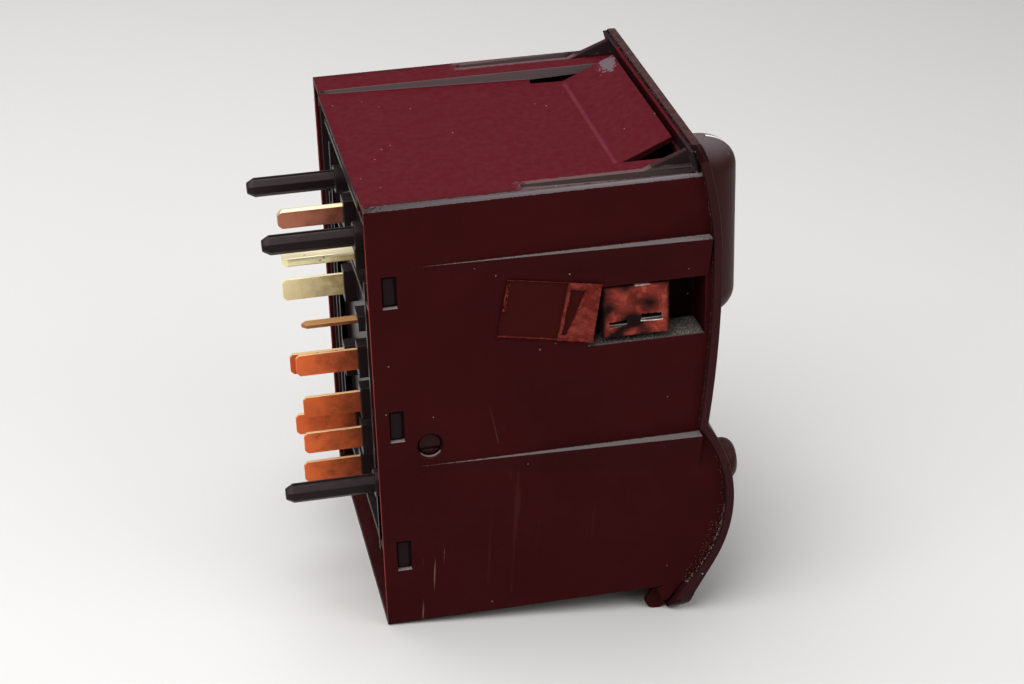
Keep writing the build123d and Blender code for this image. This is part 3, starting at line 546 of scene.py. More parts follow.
@dataclass(frozen=True)
class Metal:
    """A bare metal finish that tarnishes towards the housing."""

    name: str
    colour: Colour
    dark: Colour
    roughness: float
    tarnish_from: float = -12.0
    tarnish_to: float = 4.0
    metallic: float = 1.0
    lit: Optional[Colour] = None
    lit_reach: tuple[float, float] = (0.45, 0.75)
    grain_scale: float = 2500.0
    grain_depth: float = 0.12
    spots: float = 0.5
    spot_colour: Colour = srgb(60, 38, 30)
    tarnish_roughness: float = 0.25

    def build(self, effects: Effects) -> bpy.types.Material:
        """Builds the material.

        Args:
            effects: The shared shader groups.

        Returns:
            The material.
        """
        material, g, shader = new_material(self.name)
        tarnish = g.add("ShaderNodeGroup", node_tree=effects.tarnish)
        tarnish.inputs["From X"].default_value = self.tarnish_from * MM
        tarnish.inputs["To X"].default_value = self.tarnish_to * MM
        dull = tarnish.outputs["Mask"]
        colour = g.blend(dull, self.colour, self.dark)
        if self.lit:
            low, high = self.lit_reach
            facing = g.add("ShaderNodeGroup", node_tree=effects.facing, i_Low=low, i_High=high)
            colour = g.blend(facing.outputs["Mask"], colour, self.lit)
        colour = g.blend(g.times(tarnish.outputs["Spots"], self.spots), colour, self.spot_colour)
        rough = g.plus(g.times(dull, self.tarnish_roughness), self.roughness, clamp=True)
        grain = g.add(
            "ShaderNodeGroup", node_tree=effects.grain, i_Scale=self.grain_scale, i_Depth=self.grain_depth
        )
        g.join(colour, shader["Base Color"])
        g.join(rough, shader["Roughness"])
        g.join(grain.outputs["Normal"], shader["Normal"])
        shader["Metallic"].default_value = self.metallic
        return material


@dataclass(frozen=True)
class Film:
    """Thin adhesive film, dark where it clings to what it covers and red-brown where it is wrinkled."""

    name: str
    flat: Colour
    wrinkled: Colour
    glare: float = 1.5
    glint: Colour = srgb(226, 218, 206)
    specular: float = 0.06
    roughness: float = 0.34
    unevenness: float = 0.2
    wrinkle_scale: float = 330.0
    streaks: tuple[float, float] = (0.42, 0.62)
    relief: float = 0.4
    relief_m: float = 0.0003

    def build(self, effects: Effects) -> bpy.types.Material:
        """Builds the material.

        Args:
            effects: The shared shader groups, of which film needs none.

        Returns:
            The material.
        """
        material, g, shader = new_material(self.name)
        crease = g.add("ShaderNodeAttribute", attribute_name="crease").outputs["Fac"]
        glint = g.add("ShaderNodeAttribute", attribute_name="glint").outputs["Fac"]
        cloud = g.cloud(self.wrinkle_scale, i_Detail=3.0, i_Roughness=0.6, i_Distortion=1.4)
        streak = g.times(g.ramp(cloud, *self.streaks), crease)
        pale = tuple(min(1.0, c * self.glare + 0.01) for c in self.wrinkled)
        colour = g.blend(streak, g.blend(crease, self.flat, self.wrinkled), pale)
        g.join(g.blend(glint, colour, self.glint), shader["Base Color"])
        bump = g.add("ShaderNodeBump", i_Strength=self.relief, i_Distance=self.relief_m)
        g.join(g.times(cloud, crease), bump.inputs["Height"])
        g.join(bump.outputs["Normal"], shader["Normal"])
        spread = g.times(cloud, self.unevenness)
        g.join(g.plus(spread, self.roughness), shader["Roughness"])
        shader["Specular IOR Level"].default_value = self.specular
        return material


@dataclass(frozen=True)
class FrontSeam:
    """The line where the housing's side walls meet the bezel, in millimetres."""

    crest: tuple[float, float] = (68.4, 74.7)
    upper_radius: float = 81.4
    lower_radius: float = 255.0
    bulge_centre: tuple[float, float] = (43.3, 20.9)
    bulge_radius: float = 28.3
    notch_z: float = 36.9
    step: float = 1.5
    set_back: float = 0.05

    def x_at(self, z: float) -> float:
        """Finds the front outline.

        Args:
            z: Height on the outline.

        Returns:
            X of the outline at that height.
        """
        if z < self.notch_z:
            rise = z - self.bulge_centre[1]
            return self.bulge_centre[0] + math.sqrt(max(0.0, self.bulge_radius**2 - rise**2))
        radius = self.upper_radius if z > self.crest[1] else self.lower_radius
        return self.crest[0] - radius + math.sqrt(radius**2 - (z - self.crest[1]) ** 2)

    def ribbon(self, low: float, high: float, y: float, width: float) -> Ribbon:
        """A narrow strip along the seam.

        Args:
            low: Lower end of the strip.
            high: Upper end of the strip.
            y: Y of the strip's edge nearest the middle of the switch.
            width: Width of the strip along Y.

        Returns:
            Pairs of points across the strip.
        """
        line = [(self.x_at(z) - self.set_back, z) for z in self._heights(low, high)]
        return tuple(((x, y, z), (x, y + width, z)) for x, z in line)

    def margin(self, low: float, high: float, y: float, width: float) -> Ribbon:
        """A strip of the side wall that runs along the seam.

        Args:
            low: Lower end of the strip.
            high: Upper end of the strip.
            y: Y of the wall.
            width: Width of the strip along X.

        Returns:
            Pairs of points across the strip.
        """
        return tuple(((self.x_at(z) - width, y, z), (self.x_at(z), y, z)) for z in self._heights(low, high))

    def _heights(self, low: float, high: float) -> list[float]:
        """Evenly spaced heights from low to high."""
        count = max(2, int((high - low) / self.step))
        return [low + (high - low) * step / count for step in range(count + 1)]


SEAM = FrontSeam()
UP: Point = (0.0, 0.0, 1.0)
REAR: Point = (-1.0, 0.0, 0.0)
NEARWARD: Point = (0.0, -1.0, 0.0)
SIDES = (-1.0, 1.0)
# Painted red reflection for the housing's top faces
TOP_RED_REFLECTION = (0.066, 0.0046, 0.0092)
CORNER_BLACK = (0.020, 0.014, 0.016)
FLANGE_BLACK = (0.022, 0.015, 0.017)
# Painted shade for the carrier's hooks behind the snap windows
HOOK_SHADE = srgb(20, 8, 7)
GREY_DUST = srgb(128, 120, 120)
# Dust and painted highlight for the side ledges' tops
LEDGE_DUST_AND_HIGHLIGHT = srgb(110, 106, 106)
# Painted highlight, with some wear, for the near top edge
NEAR_EDGE_WEAR_AND_HIGHLIGHT = srgb(112, 106, 110)
GROOVE_GREY = srgb(96, 92, 92)
# Painted highlight for the lower edges of the snap windows and the adjuster hole
HOLE_EDGE_HIGHLIGHT = srgb(176, 170, 170)
# Painted red reflection for the rear rim
REAR_RED_REFLECTION = srgb(150, 48, 34)
# Painted reflection for the knob's upward faces
KNOB_TOP_REFLECTION = srgb(104, 98, 102)
LEDGE_REACH = (0.7, 0.95)

# Painted red reflection on the top faces, then the black webs and flange that stand on them
TOP_MARKS = (
    Mark((30.0, 0.0, 93.5), (42.0, 38.0, 6.0), 0.02, 200.0, TOP_RED_REFLECTION, 1.0, UP, (0.55, 0.9)),
    *(Mark((61.0, -32.0 * side, 97.0), (9.0, 7.0, 2.8), 0.10, 900.0, CORNER_BLACK, 0.85) for side in SIDES),
    Mark((67.6, 0.0, 97.0), (3.2, 39.0, 3.4), 0.10, 900.0, FLANGE_BLACK, 0.85),
)
# Dust and painted highlight on the tops of the side ledges, painted highlight with some wear along the near
# top edge, and the far inner side of the sunken panel
LEDGE_MARKS = (
    *(
        Mark((30.0, 37.6 * side, 58.0), (42.0, 1.3, 30.0), 0.20, 1900.0, LEDGE_DUST_AND_HIGHLIGHT, 0.8, UP, LEDGE_REACH)
        for side in SIDES
    ),
    Mark((33.0, -36.0, 93.64), (36.0, 0.5, 0.5), 0.25, 1300.0, NEAR_EDGE_WEAR_AND_HIGHLIGHT, 0.75),
    Mark((32.0, 28.2, 92.9), (34.0, 1.4, 1.6), 0.10, 500.0, GREY_DUST, 0.40, NEARWARD, (0.5, 0.9)),
)
# Smear on the tongue, dust in the two grooves and a painted highlight along the fold where the tongue
# starts
TONGUE_MARKS = (
    Mark((61.6, 21.6, 96.2), (1.7, 3.4, 3.0), 0.75, 620.0, srgb(92, 86, 92), 0.8),
    *(Mark((48.5, 33.4 * side, 92.2), (19.0, 2.2, 2.6), 0.20, 900.0, GROOVE_GREY, 0.45) for side in SIDES),
    Mark((52.4, 0.0, 91.8), (0.45, 26.0, 0.6), 0.05, 300.0, srgb(112, 52, 68), 0.28),
)
# Painted shade inside the near clip pocket, and the dust on its floor
POCKET_MARKS = (
    Mark((55.0, -32.0, 65.4), (13.0, 4.3, 6.8), 0.02, 300.0, srgb(14, 8, 8), 0.9),
    Mark((55.0, -32.0, 59.3), (13.0, 4.6, 0.6), 0.10, 2400.0, srgb(84, 78, 76), 0.85, UP),
)
# Painted highlight on the upward-facing lower edges of the snap windows and of the adjuster hole
HOLE_MARKS = (
    *(
        Mark((4.2, -35.6, height), (1.9, 1.0, 0.35), 0.10, 1200.0, HOLE_EDGE_HIGHLIGHT, 0.4, UP, (0.3, 0.8))
        for height in (72.6, 43.1, 13.1)
    ),
    Mark((10.6, -36.1, 39.2), (2.2, 0.5, 0.9), 0.10, 1200.0, HOLE_EDGE_HIGHLIGHT, 0.3, UP, (0.2, 0.7)),
)
# Painted red reflection on the rear rim
RIM_MARKS = tuple(
    Mark((0.0, 35.6 * side, 47.0), (0.7, 1.3, 47.0), 0.35, 500.0, REAR_RED_REFLECTION, strength, REAR, (0.25, 0.7))
    for side, strength in zip(SIDES, (0.55, 0.35))
)
HOUSING_MARKS = (*TOP_MARKS, *LEDGE_MARKS, *TONGUE_MARKS, *POCKET_MARKS, *HOLE_MARKS, *RIM_MARKS)
# Painted reflection on the knob's upward faces
KNOB_MARKS = (Mark((77.0, 0.0, 68.0), (9.0, 22.0, 32.0), 0.02, 300.0, KNOB_TOP_REFLECTION, 0.5, UP, (0.3, 0.95)),)
# Painted shade on the carrier's hooks behind the snap windows and inside the adjuster hole
CARRIER_MARKS = (
    Mark((4.1, -35.6, 45.0), (2.0, 0.7, 44.0), 0.02, 300.0, HOOK_SHADE, 1.0),
    Mark((10.6, -35.5, 41.3), (3.0, 0.8, 3.0), 0.02, 300.0, srgb(36, 10, 8), 1.0),
)
HOUSING_SCUFFS = (
    Scuff((9.5, -36.3, 8.0), (3.5, 0.6, 10.0), 85.0, srgb(150, 128, 112), 0.5, 0.64),
    Scuff((24.5, -36.3, 44.0), (3.0, 0.6, 5.5), 99.0, srgb(116, 92, 88), 0.26, 0.58),
    Scuff((32.0, -36.3, 20.0), (14.0, 0.6, 14.0), 84.0, srgb(96, 56, 54), 0.10, 0.64),
)


class Finish(Enum):
    """Every finish on the switch."""

    # The dark red in these black plastics' colours, and their red gloss tints, are painted red reflection
    HOUSING = Plastic(
        "housing_black", (0.034, 0.0044, 0.0049), (0.027, 0.0036, 0.0041),
        roughness=0.44, grain_scale=5200.0, grain_depth=0.2, dust=0.02,
        specular=0.03, gloss_tint=(1.0, 0.4, 0.45), specks=0.3,
        scuffs=HOUSING_SCUFFS, marks=HOUSING_MARKS,
    )
    BEZEL = Plastic(
        "bezel_black", (0.027, 0.0055, 0.0065), (0.020, 0.0042, 0.0052),
        roughness=0.5, grain_scale=3600.0, grain_depth=0.35, dust=0.08,
        specular=0.12, gloss_tint=(1.0, 0.6, 0.6), specks=0.8,
    )
    CARRIER = Plastic(
        "carrier_black", (0.012, 0.0065, 0.0070), (0.008, 0.0045, 0.0050),
        roughness=0.38, grain_scale=4200.0, grain_depth=0.2, dust=0.05,
        specular=0.15, gloss_tint=(1.0, 0.82, 0.86), specks=0.5, marks=CARRIER_MARKS,
    )
    KNOB = Plastic(
        "knob_satin_black", (0.030, 0.0055, 0.0050), (0.024, 0.0042, 0.0040),
        roughness=0.42, grain_scale=2600.0, grain_depth=0.35, dust=0.05,
        specular=0.16, gloss_tint=(1.0, 0.7, 0.7), specks=0.3, marks=KNOB_MARKS,
    )
    INNER = Plastic(
        "inner_black", (0.012, 0.009, 0.010), (0.008, 0.006, 0.007),
        roughness=0.5, grain_scale=3000.0, grain_depth=0.2, specular=0.2,
    )
    BOARD = Plastic(
        "board_green", srgb(44, 78, 52), srgb(34, 62, 42),
        roughness=0.4, grain_scale=2500.0, grain_depth=0.1,
    )
    WHITE = Plastic(
        "pointer_white", srgb(226, 224, 220), srgb(210, 206, 200),
        roughness=0.45, grain_scale=3000.0, grain_depth=0.1,
    )
    WINDOW = Plastic(
        "milky_window", srgb(176, 180, 178), srgb(158, 162, 160),
        roughness=0.3, grain_scale=1500.0, grain_depth=0.05,
    )
    LAMP = Plastic(
        "lamp_body", srgb(220, 210, 160), srgb(206, 196, 150),
        roughness=0.3, grain_scale=1500.0, grain_depth=0.05,
    )
    COPPER = Metal(
        "copper_blade", srgb(228, 106, 52), srgb(124, 54, 26), roughness=0.36,
        metallic=0.6, lit=srgb(236, 198, 148),
    )
    BATTERY = Metal(
        "battery_blade_metal", srgb(178, 110, 88), srgb(112, 62, 44), roughness=0.34,
        metallic=0.65, lit=srgb(246, 224, 180),
    )
    PALE_BRASS = Metal(
        "pale_brass_blade", srgb(252, 238, 186), srgb(176, 148, 96), roughness=0.36,
        metallic=0.5, lit=srgb(250, 238, 200),
    )
    DULL_BRASS = Metal(
        "dull_brass_blade", srgb(168, 98, 52), srgb(96, 54, 32), roughness=0.4,
        metallic=0.6, lit=srgb(196, 146, 92),
    )
    STEEL = Metal(
        "spring_steel", srgb(190, 190, 192), srgb(120, 116, 114), roughness=0.3,
        tarnish_from=20.0, tarnish_to=80.0,
    )
    WALL_FILM = Film("wall_film", srgb(50, 6, 4), srgb(92, 26, 19))
    CLIP_FILM = Film("clip_film", srgb(22, 7, 6), srgb(118, 43, 33))
    GRAINS = Plastic(
        "dust_grains", srgb(150, 142, 132), srgb(104, 98, 92),
        roughness=0.8, grain_scale=3000.0, grain_depth=0.1,
    )


class Wardrobe:
    """Builds each finish once and puts it on pieces."""

    def __init__(self) -> None:
        """Builds the shared groups."""
        self._effects = Effects()
        self._made: dict[Finish, bpy.types.Material] = {}

    def get(self, finish: Finish) -> bpy.types.Material:
        """Finds the material of a finish, and builds it the first time.

        Args:
            finish: The finish.

        Returns:
            The material.
        """
        if finish not in self._made:
            self._made[finish] = finish.value.build(self._effects)
        return self._made[finish]

    def dress(self, piece: bpy.types.Object, finish: Finish) -> None:
        """Gives a piece its finish."""
        piece.data.materials.clear()
        piece.data.materials.append(self.get(finish))


@dataclass
class Rounded:
    """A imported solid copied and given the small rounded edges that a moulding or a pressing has.

    Edge is the rounding's width in millimetres. Shortest and room are times that width: the length
    that an edge needs, and the breadth that the faces beside it need. Edges that bend less than
    sharp degrees are left as they are, and so is any edge within seam_gap millimetres of the seam.
    Faces that meet at less than flat degrees are joined first.
    """

    node: str
    finish: Finish
    edge: float = 0.25
    seam: Optional[FrontSeam] = None
    segments: int = 2
    sharp: float = 32.0
    flat: float = 0.6
    shortest: float = 1.5
    room: float = 1.2
    seam_gap: float = 0.4

    def build(self, wardrobe: Wardrobe) -> bpy.types.Object:
        """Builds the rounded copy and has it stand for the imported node.

        Args:
            wardrobe: Source of finishes.

        Returns:
            The new piece.
        """
        source = frame["nodes"][self.node]
        bm = bmesh.new()
        bm.from_mesh(source.data)
        bmesh.ops.remove_doubles(bm, verts=bm.verts, dist=MERGE_M)
        bmesh.ops.dissolve_limit(
            bm,
            angle_limit=math.radians(self.flat),
            verts=bm.verts,
            edges=bm.edges,
            use_dissolve_boundaries=False,
        )
        self._weigh(bm)
        piece = make_piece(f"{self.node}_look", bm)
        bevel = piece.modifiers.new("edges", "BEVEL")
        bevel.width = self.edge * MM
        bevel.segments = self.segments
        bevel.limit_method = "WEIGHT"
        bevel.use_clamp_overlap = False
        weighted = piece.modifiers.new("normals", "WEIGHTED_NORMAL")
        weighted.mode = "FACE_AREA"
        weighted.keep_sharp = True
        freeze(piece)
        wardrobe.dress(piece, self.finish)
        stand_for(piece, self.node)
        return piece

    def _weigh(self, bm: bmesh.types.BMesh) -> None:
        """Marks the sharp edges that have room for rounding on both sides.

        Args:
            bm: The merged copy of the solid.
        """
        layer = bm.edges.layers.float.new("bevel_weight_edge")
        breadth = {}
        for face in bm.faces:
            longest = max(edge.calc_length() for edge in face.edges)
            breadth[face.index] = face.calc_area() / longest if longest > 0.0 else 0.0
        for edge in bm.edges:
            if len(edge.link_faces) != 2 or edge.calc_face_angle(0.0) < math.radians(self.sharp):
                continue
            if edge.calc_length() < self.shortest * self.edge * MM:
                continue
            middle = (edge.verts[0].co + edge.verts[1].co) / 2.0 / MM
            if self.seam and abs(middle.x - self.seam.x_at(middle.z)) < self.seam_gap:
                continue
            if all(breadth[face.index] > self.room * self.edge * MM for face in edge.link_faces):
                edge[layer] = 1.0


def stand_for(piece: bpy.types.Object, node: str) -> None:
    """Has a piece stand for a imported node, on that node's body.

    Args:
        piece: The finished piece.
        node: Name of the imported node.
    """
    bodies = frame["record"]["behaviour"]["bodies"]
    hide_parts(node)
    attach(piece, next(body for body, members in bodies.items() if node in members))


def freeze(piece: bpy.types.Object) -> None:
    """Turns a piece's modifiers into plain mesh and removes them.

    Args:
        piece: The piece, whose faces are set smooth first.
    """
    for polygon in piece.data.polygons:
        polygon.use_smooth = True
    bpy.context.view_layer.update()
    graph = bpy.context.evaluated_depsgraph_get()
    mesh = bpy.data.meshes.new_from_object(piece.evaluated_get(graph))
    piece.modifiers.clear()
    piece.data = mesh


def make_piece(name: str, bm: bmesh.types.BMesh) -> bpy.types.Object:
    """Turns a mesh under construction into a new piece of the scene.

    Args:
        name: Name of the piece and of its mesh.
        bm: The mesh, which is freed.

    Returns:
        The piece.
    """
    mesh = bpy.data.meshes.new(name)
    bm.to_mesh(mesh)
    bm.free()
    piece = bpy.data.objects.new(name, mesh)
    bpy.context.scene.collection.objects.link(piece)
    return piece


@dataclass
class FilmSheet:
    """A sheet of adhesive film as a fine grid, wrinkled by amounts that vary over the sheet.

    Corners are X and Z from the lower rear corner round by the front, y is the plane that the sheet
    lies on, rise is how far full wrinkles stand off it and curl how far the sheet's edges turn in,
    all in millimetres.
    """

    name: str
    node: str
    finish: Finish
    corners: tuple[tuple[float, float], ...]
    y: float
    columns: int
    rows: int
    rise: float
    curl: float = 0.0
    curled_margin: float = 0.05

    def fold(self, u: float, v: float) -> float:
        """How wrinkled the sheet is at (u, v), 0 to 1."""
        return 1.0

    def shine(self, x: float, z: float) -> float:
        """How brightly an edge catches the light at (x, z) in millimetres, 0 to 1."""
        return 0.0

    def cut(self, x: float, z: float) -> bool:
        """Whether the sheet is torn away at (x, z) in millimetres."""
        return False

    def build(self, wardrobe: Wardrobe) -> bpy.types.Object:
        """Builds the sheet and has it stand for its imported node.

        Args:
            wardrobe: Source of finishes.

        Returns:
            The new piece.
        """
        bm = bmesh.new()
        crease = bm.verts.layers.float.new("crease")
        glint = bm.verts.layers.float.new("glint")
        grid = []
        for row in range(self.rows + 1):
            v = row / self.rows
            line = []
            for column in range(self.columns + 1):
                u = column / self.columns
                x, z = self._place(u, v)
                amount = self.fold(u, v)
                vert = bm.verts.new((x * MM, (self.y - self._rise(u, v, x, z, amount)) * MM, z * MM))
                vert[crease] = amount
                vert[glint] = self.shine(x, z)
                line.append(vert)
            grid.append(line)
        for low, high in zip(grid, grid[1:]):
            for column in range(self.columns):
                corners = (low[column], low[column + 1], high[column + 1], high[column])
                middle = sum((vert.co for vert in corners), Vector()) / 4.0 / MM
                if not self.cut(middle.x, middle.z):
                    bm.faces.new(corners)
        loose = [vert for vert in bm.verts if not vert.link_faces]
        bmesh.ops.delete(bm, geom=loose, context="VERTS")
        for face in bm.faces:
            face.smooth = True
        piece = make_piece(self.name, bm)
        wardrobe.dress(piece, self.finish)
        stand_for(piece, self.node)
        return piece

    def _place(self, u: float, v: float) -> tuple[float, float]:
        """Finds a point of the flat sheet.

        Args:
            u: Share of the way from rear to front.
            v: Share of the way from bottom to top.

        Returns:
            X and Z in millimetres.
        """
        (ax, az), (bx, bz), (cx, cz), (dx, dz) = self.corners
        x = (1 - v) * ((1 - u) * ax + u * bx) + v * ((1 - u) * dx + u * cx)
        z = (1 - v) * ((1 - u) * az + u * bz) + v * ((1 - u) * dz + u * cz)
        return x, z

    def _rise(self, u: float, v: float, x: float, z: float, amount: float) -> float:
        """Works out how far the sheet stands off its plane.

        Args:
            u: Share of the way from rear to front.
            v: Share of the way from bottom to top.
            x: X of the flat sheet in millimetres.
            z: Z of the flat sheet in millimetres.
            amount: How wrinkled it is there, 0 to 1.

        Returns:
            The height in millimetres.
        """
        coarse = noise.noise(Vector((x * 0.75, z * 0.75, 3.1)))
        fine = noise.noise(Vector((x * 2.6, z * 2.6, 6.4)))
        slanting = noise.noise(Vector((x * 1.1 + z * 0.8, z * 0.5, 9.7)))
        ridge = max(0.0, 1.0 - abs(slanting) * 2.2)
        height = amount * self.rise * (0.5 + 0.45 * coarse + 0.3 * ridge + 0.2 * fine)
        edge = min(u, v, 1.0 - u, 1.0 - v)
        return height - self.curl * max(0.0, 1.0 - edge / self.curled_margin) ** 2


@dataclass
class WallFilm(FilmSheet):
    """The patch on the side wall: clear and flat, with a folded strip at its front end.

    The strip starts at strip_u and the wholly wrinkled end at end_u, and both lean along the height.
    Between the two the strip is flat over the flat range of heights, and a ridge follows its rear
    edge. The spot is a crumpled place on the sheet's rear edge: its reach, and its bottom and top.
    All are shares of the sheet.
    """

    strip_u: float = 0.655
    strip_lean: float = 0.02
    end_u: float = 0.70
    end_lean: float = 0.16
    flat: tuple[float, float] = (0.08, 0.87)
    ridge_offset: float = 0.012
    ridge_half: float = 0.016
    spot: tuple[float, float, float] = (0.035, 0.45, 0.92)
    spot_waves: Point = (60.0, 22.0, 1.3)
    hem_v: float = 0.016
    hem_u: float = 0.008

    def fold(self, u: float, v: float) -> float:
        """Wrinkles the folded strip, the sheet's outline and a crumpled spot on its rear edge.

        Args:
            u: Share of the way from rear to front.
            v: Share of the way from bottom to top.

        Returns:
            How wrinkled the sheet is there, 0 to 1.
        """
        start = self.strip_u - self.strip_lean * (1.0 - v)
        flat = self.flat[0] <= v <= self.flat[1]
        ridge = abs(u - start - self.ridge_offset) < self.ridge_half
        strip = u > self.end_u + self.end_lean * v or (u > start and not flat) or ridge
        reach, bottom, top = self.spot
        waves_u, waves_v, layer = self.spot_waves
        crumple = noise.noise(Vector((u * waves_u, v * waves_v, layer)))
        spot = u < reach and bottom < v < top and crumple > -0.1
        hem = min(v, 1.0 - v) < self.hem_v or u < self.hem_u
        return 1.0 if strip else 0.75 if spot else 0.6 if hem else 0.0


@dataclass
class ClipFilm(FilmSheet):
    """The sleeve over the clip, wrinkled all over and torn at the clip's two slots.

    Each hole is its rear, front, bottom and top in millimetres, and each glint the same four with
    its least brightness and what broken light adds.
    """

    holes: tuple[tuple[float, ...], ...] = ((53.95, 58.1, 63.7, 65.15), (47.4, 51.1, 62.95, 64.05))
    glints: tuple[tuple[float, ...], ...] = (
        (53.8, 58.3, 63.45, 63.8, 0.45, 0.4),
        (47.6, 50.8, 62.75, 62.95, 0.0, 0.25),
        (51.57, 57.8, 71.3, 72.0, 0.0, 0.5),
    )

    def fold(self, u: float, v: float) -> float:
        """Wrinkles the film more towards its upper front corner.

        Args:
            u: Share of the way from rear to front.
            v: Share of the way from bottom to top.

        Returns:
            How wrinkled the sheet is there, 0 to 1.
        """
        patch = noise.noise(Vector((u * 3.6, v * 3.2, 4.2)))
        edge = min(1.0, min(u, v, 1.0 - u, 1.0 - v) / 0.07)
        return edge * min(1.0, max(0.0, 0.34 + 0.8 * (u - 0.4) + 0.5 * (v - 0.45) + 1.3 * patch))

    def cut(self, x: float, z: float) -> bool:
        """Tears the two holes.

        Args:
            x: X of the flat sheet in millimetres.
            z: Z of the flat sheet in millimetres.

        Returns:
            Whether the film is torn away there.
        """
        wave = 0.22 * noise.noise(Vector((x * 1.7, z * 1.7, 2.0)))
        return any(
            rear < x < front and bottom + 0.3 * wave < z < top + 0.4 * wave
            for rear, front, bottom, top in self.holes
        )

    def shine(self, x: float, z: float) -> float:
        """Lights the lower edges of the holes, and parts of the top edge.

        Args:
            x: X of the flat sheet in millimetres.
            z: Z of the flat sheet in millimetres.

        Returns:
            How brightly the film catches the light there, 0 to 1.
        """
        broken = min(1.0, max(0.0, 0.3 + 2.2 * noise.noise(Vector((x * 0.9, z * 0.4, 7.7)))))
        for rear, front, bottom, top, least, more in self.glints:
            if rear < x < front and bottom < z < top:
                return least + more * broken
        return 0.0


@dataclass
class ReturnSpring:
    """A button's return spring as a round wire coil."""

    joint: str
    node: str
    wire: float = 0.25
    turns: int = 5
    steps: int = 28
    sides: int = 10

    def build(self, wardrobe: Wardrobe) -> bpy.types.Object:
        """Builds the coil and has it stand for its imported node.

        Args:
            wardrobe: Source of finishes.

        Returns:
            The new piece.
        """
        low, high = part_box(self.node)
        wire = self.wire * MM
        radius = (high.y - low.y) / 2.0 - wire
        middle = (low + high) / 2.0
        first, last = low.x + wire, high.x - wire
        count = self.turns * self.steps
        bm = bmesh.new()
        rings = []
        for step in range(count + 1):
            turn = math.tau * step / self.steps
            outward = Vector((0.0, math.cos(turn), math.sin(turn)))
            along = first + (last - first) * step / count
            centre = Vector((along, middle.y, middle.z)) + outward * radius
            ring = []
            for side in range(self.sides):
                angle = math.tau * side / self.sides
                offset = outward * math.cos(angle) + Vector((math.sin(angle), 0.0, 0.0))
                ring.append(bm.verts.new(centre + offset * wire))
            rings.append(ring)
        for ring, after in zip(rings, rings[1:]):
            for side in range(self.sides):
                beside = (side + 1) % self.sides
                bm.faces.new((ring[side], ring[beside], after[beside], after[side]))
        bm.faces.new(reversed(rings[0]))
        bm.faces.new(rings[-1])
        bmesh.ops.recalc_face_normals(bm, faces=bm.faces)
        for face in bm.faces:
            face.smooth = len(face.verts) == 4
        piece = make_piece(f"{self.node}_look", bm)
        wardrobe.dress(piece, Finish.STEEL)
        stand_for(piece, self.node)
        self._squash(piece)
        return piece

    def _squash(self, piece: bpy.types.Object) -> None:
        """Gives the coil a mesh of its own.

        Args:
            piece: The coil.
        """
        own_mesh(piece)


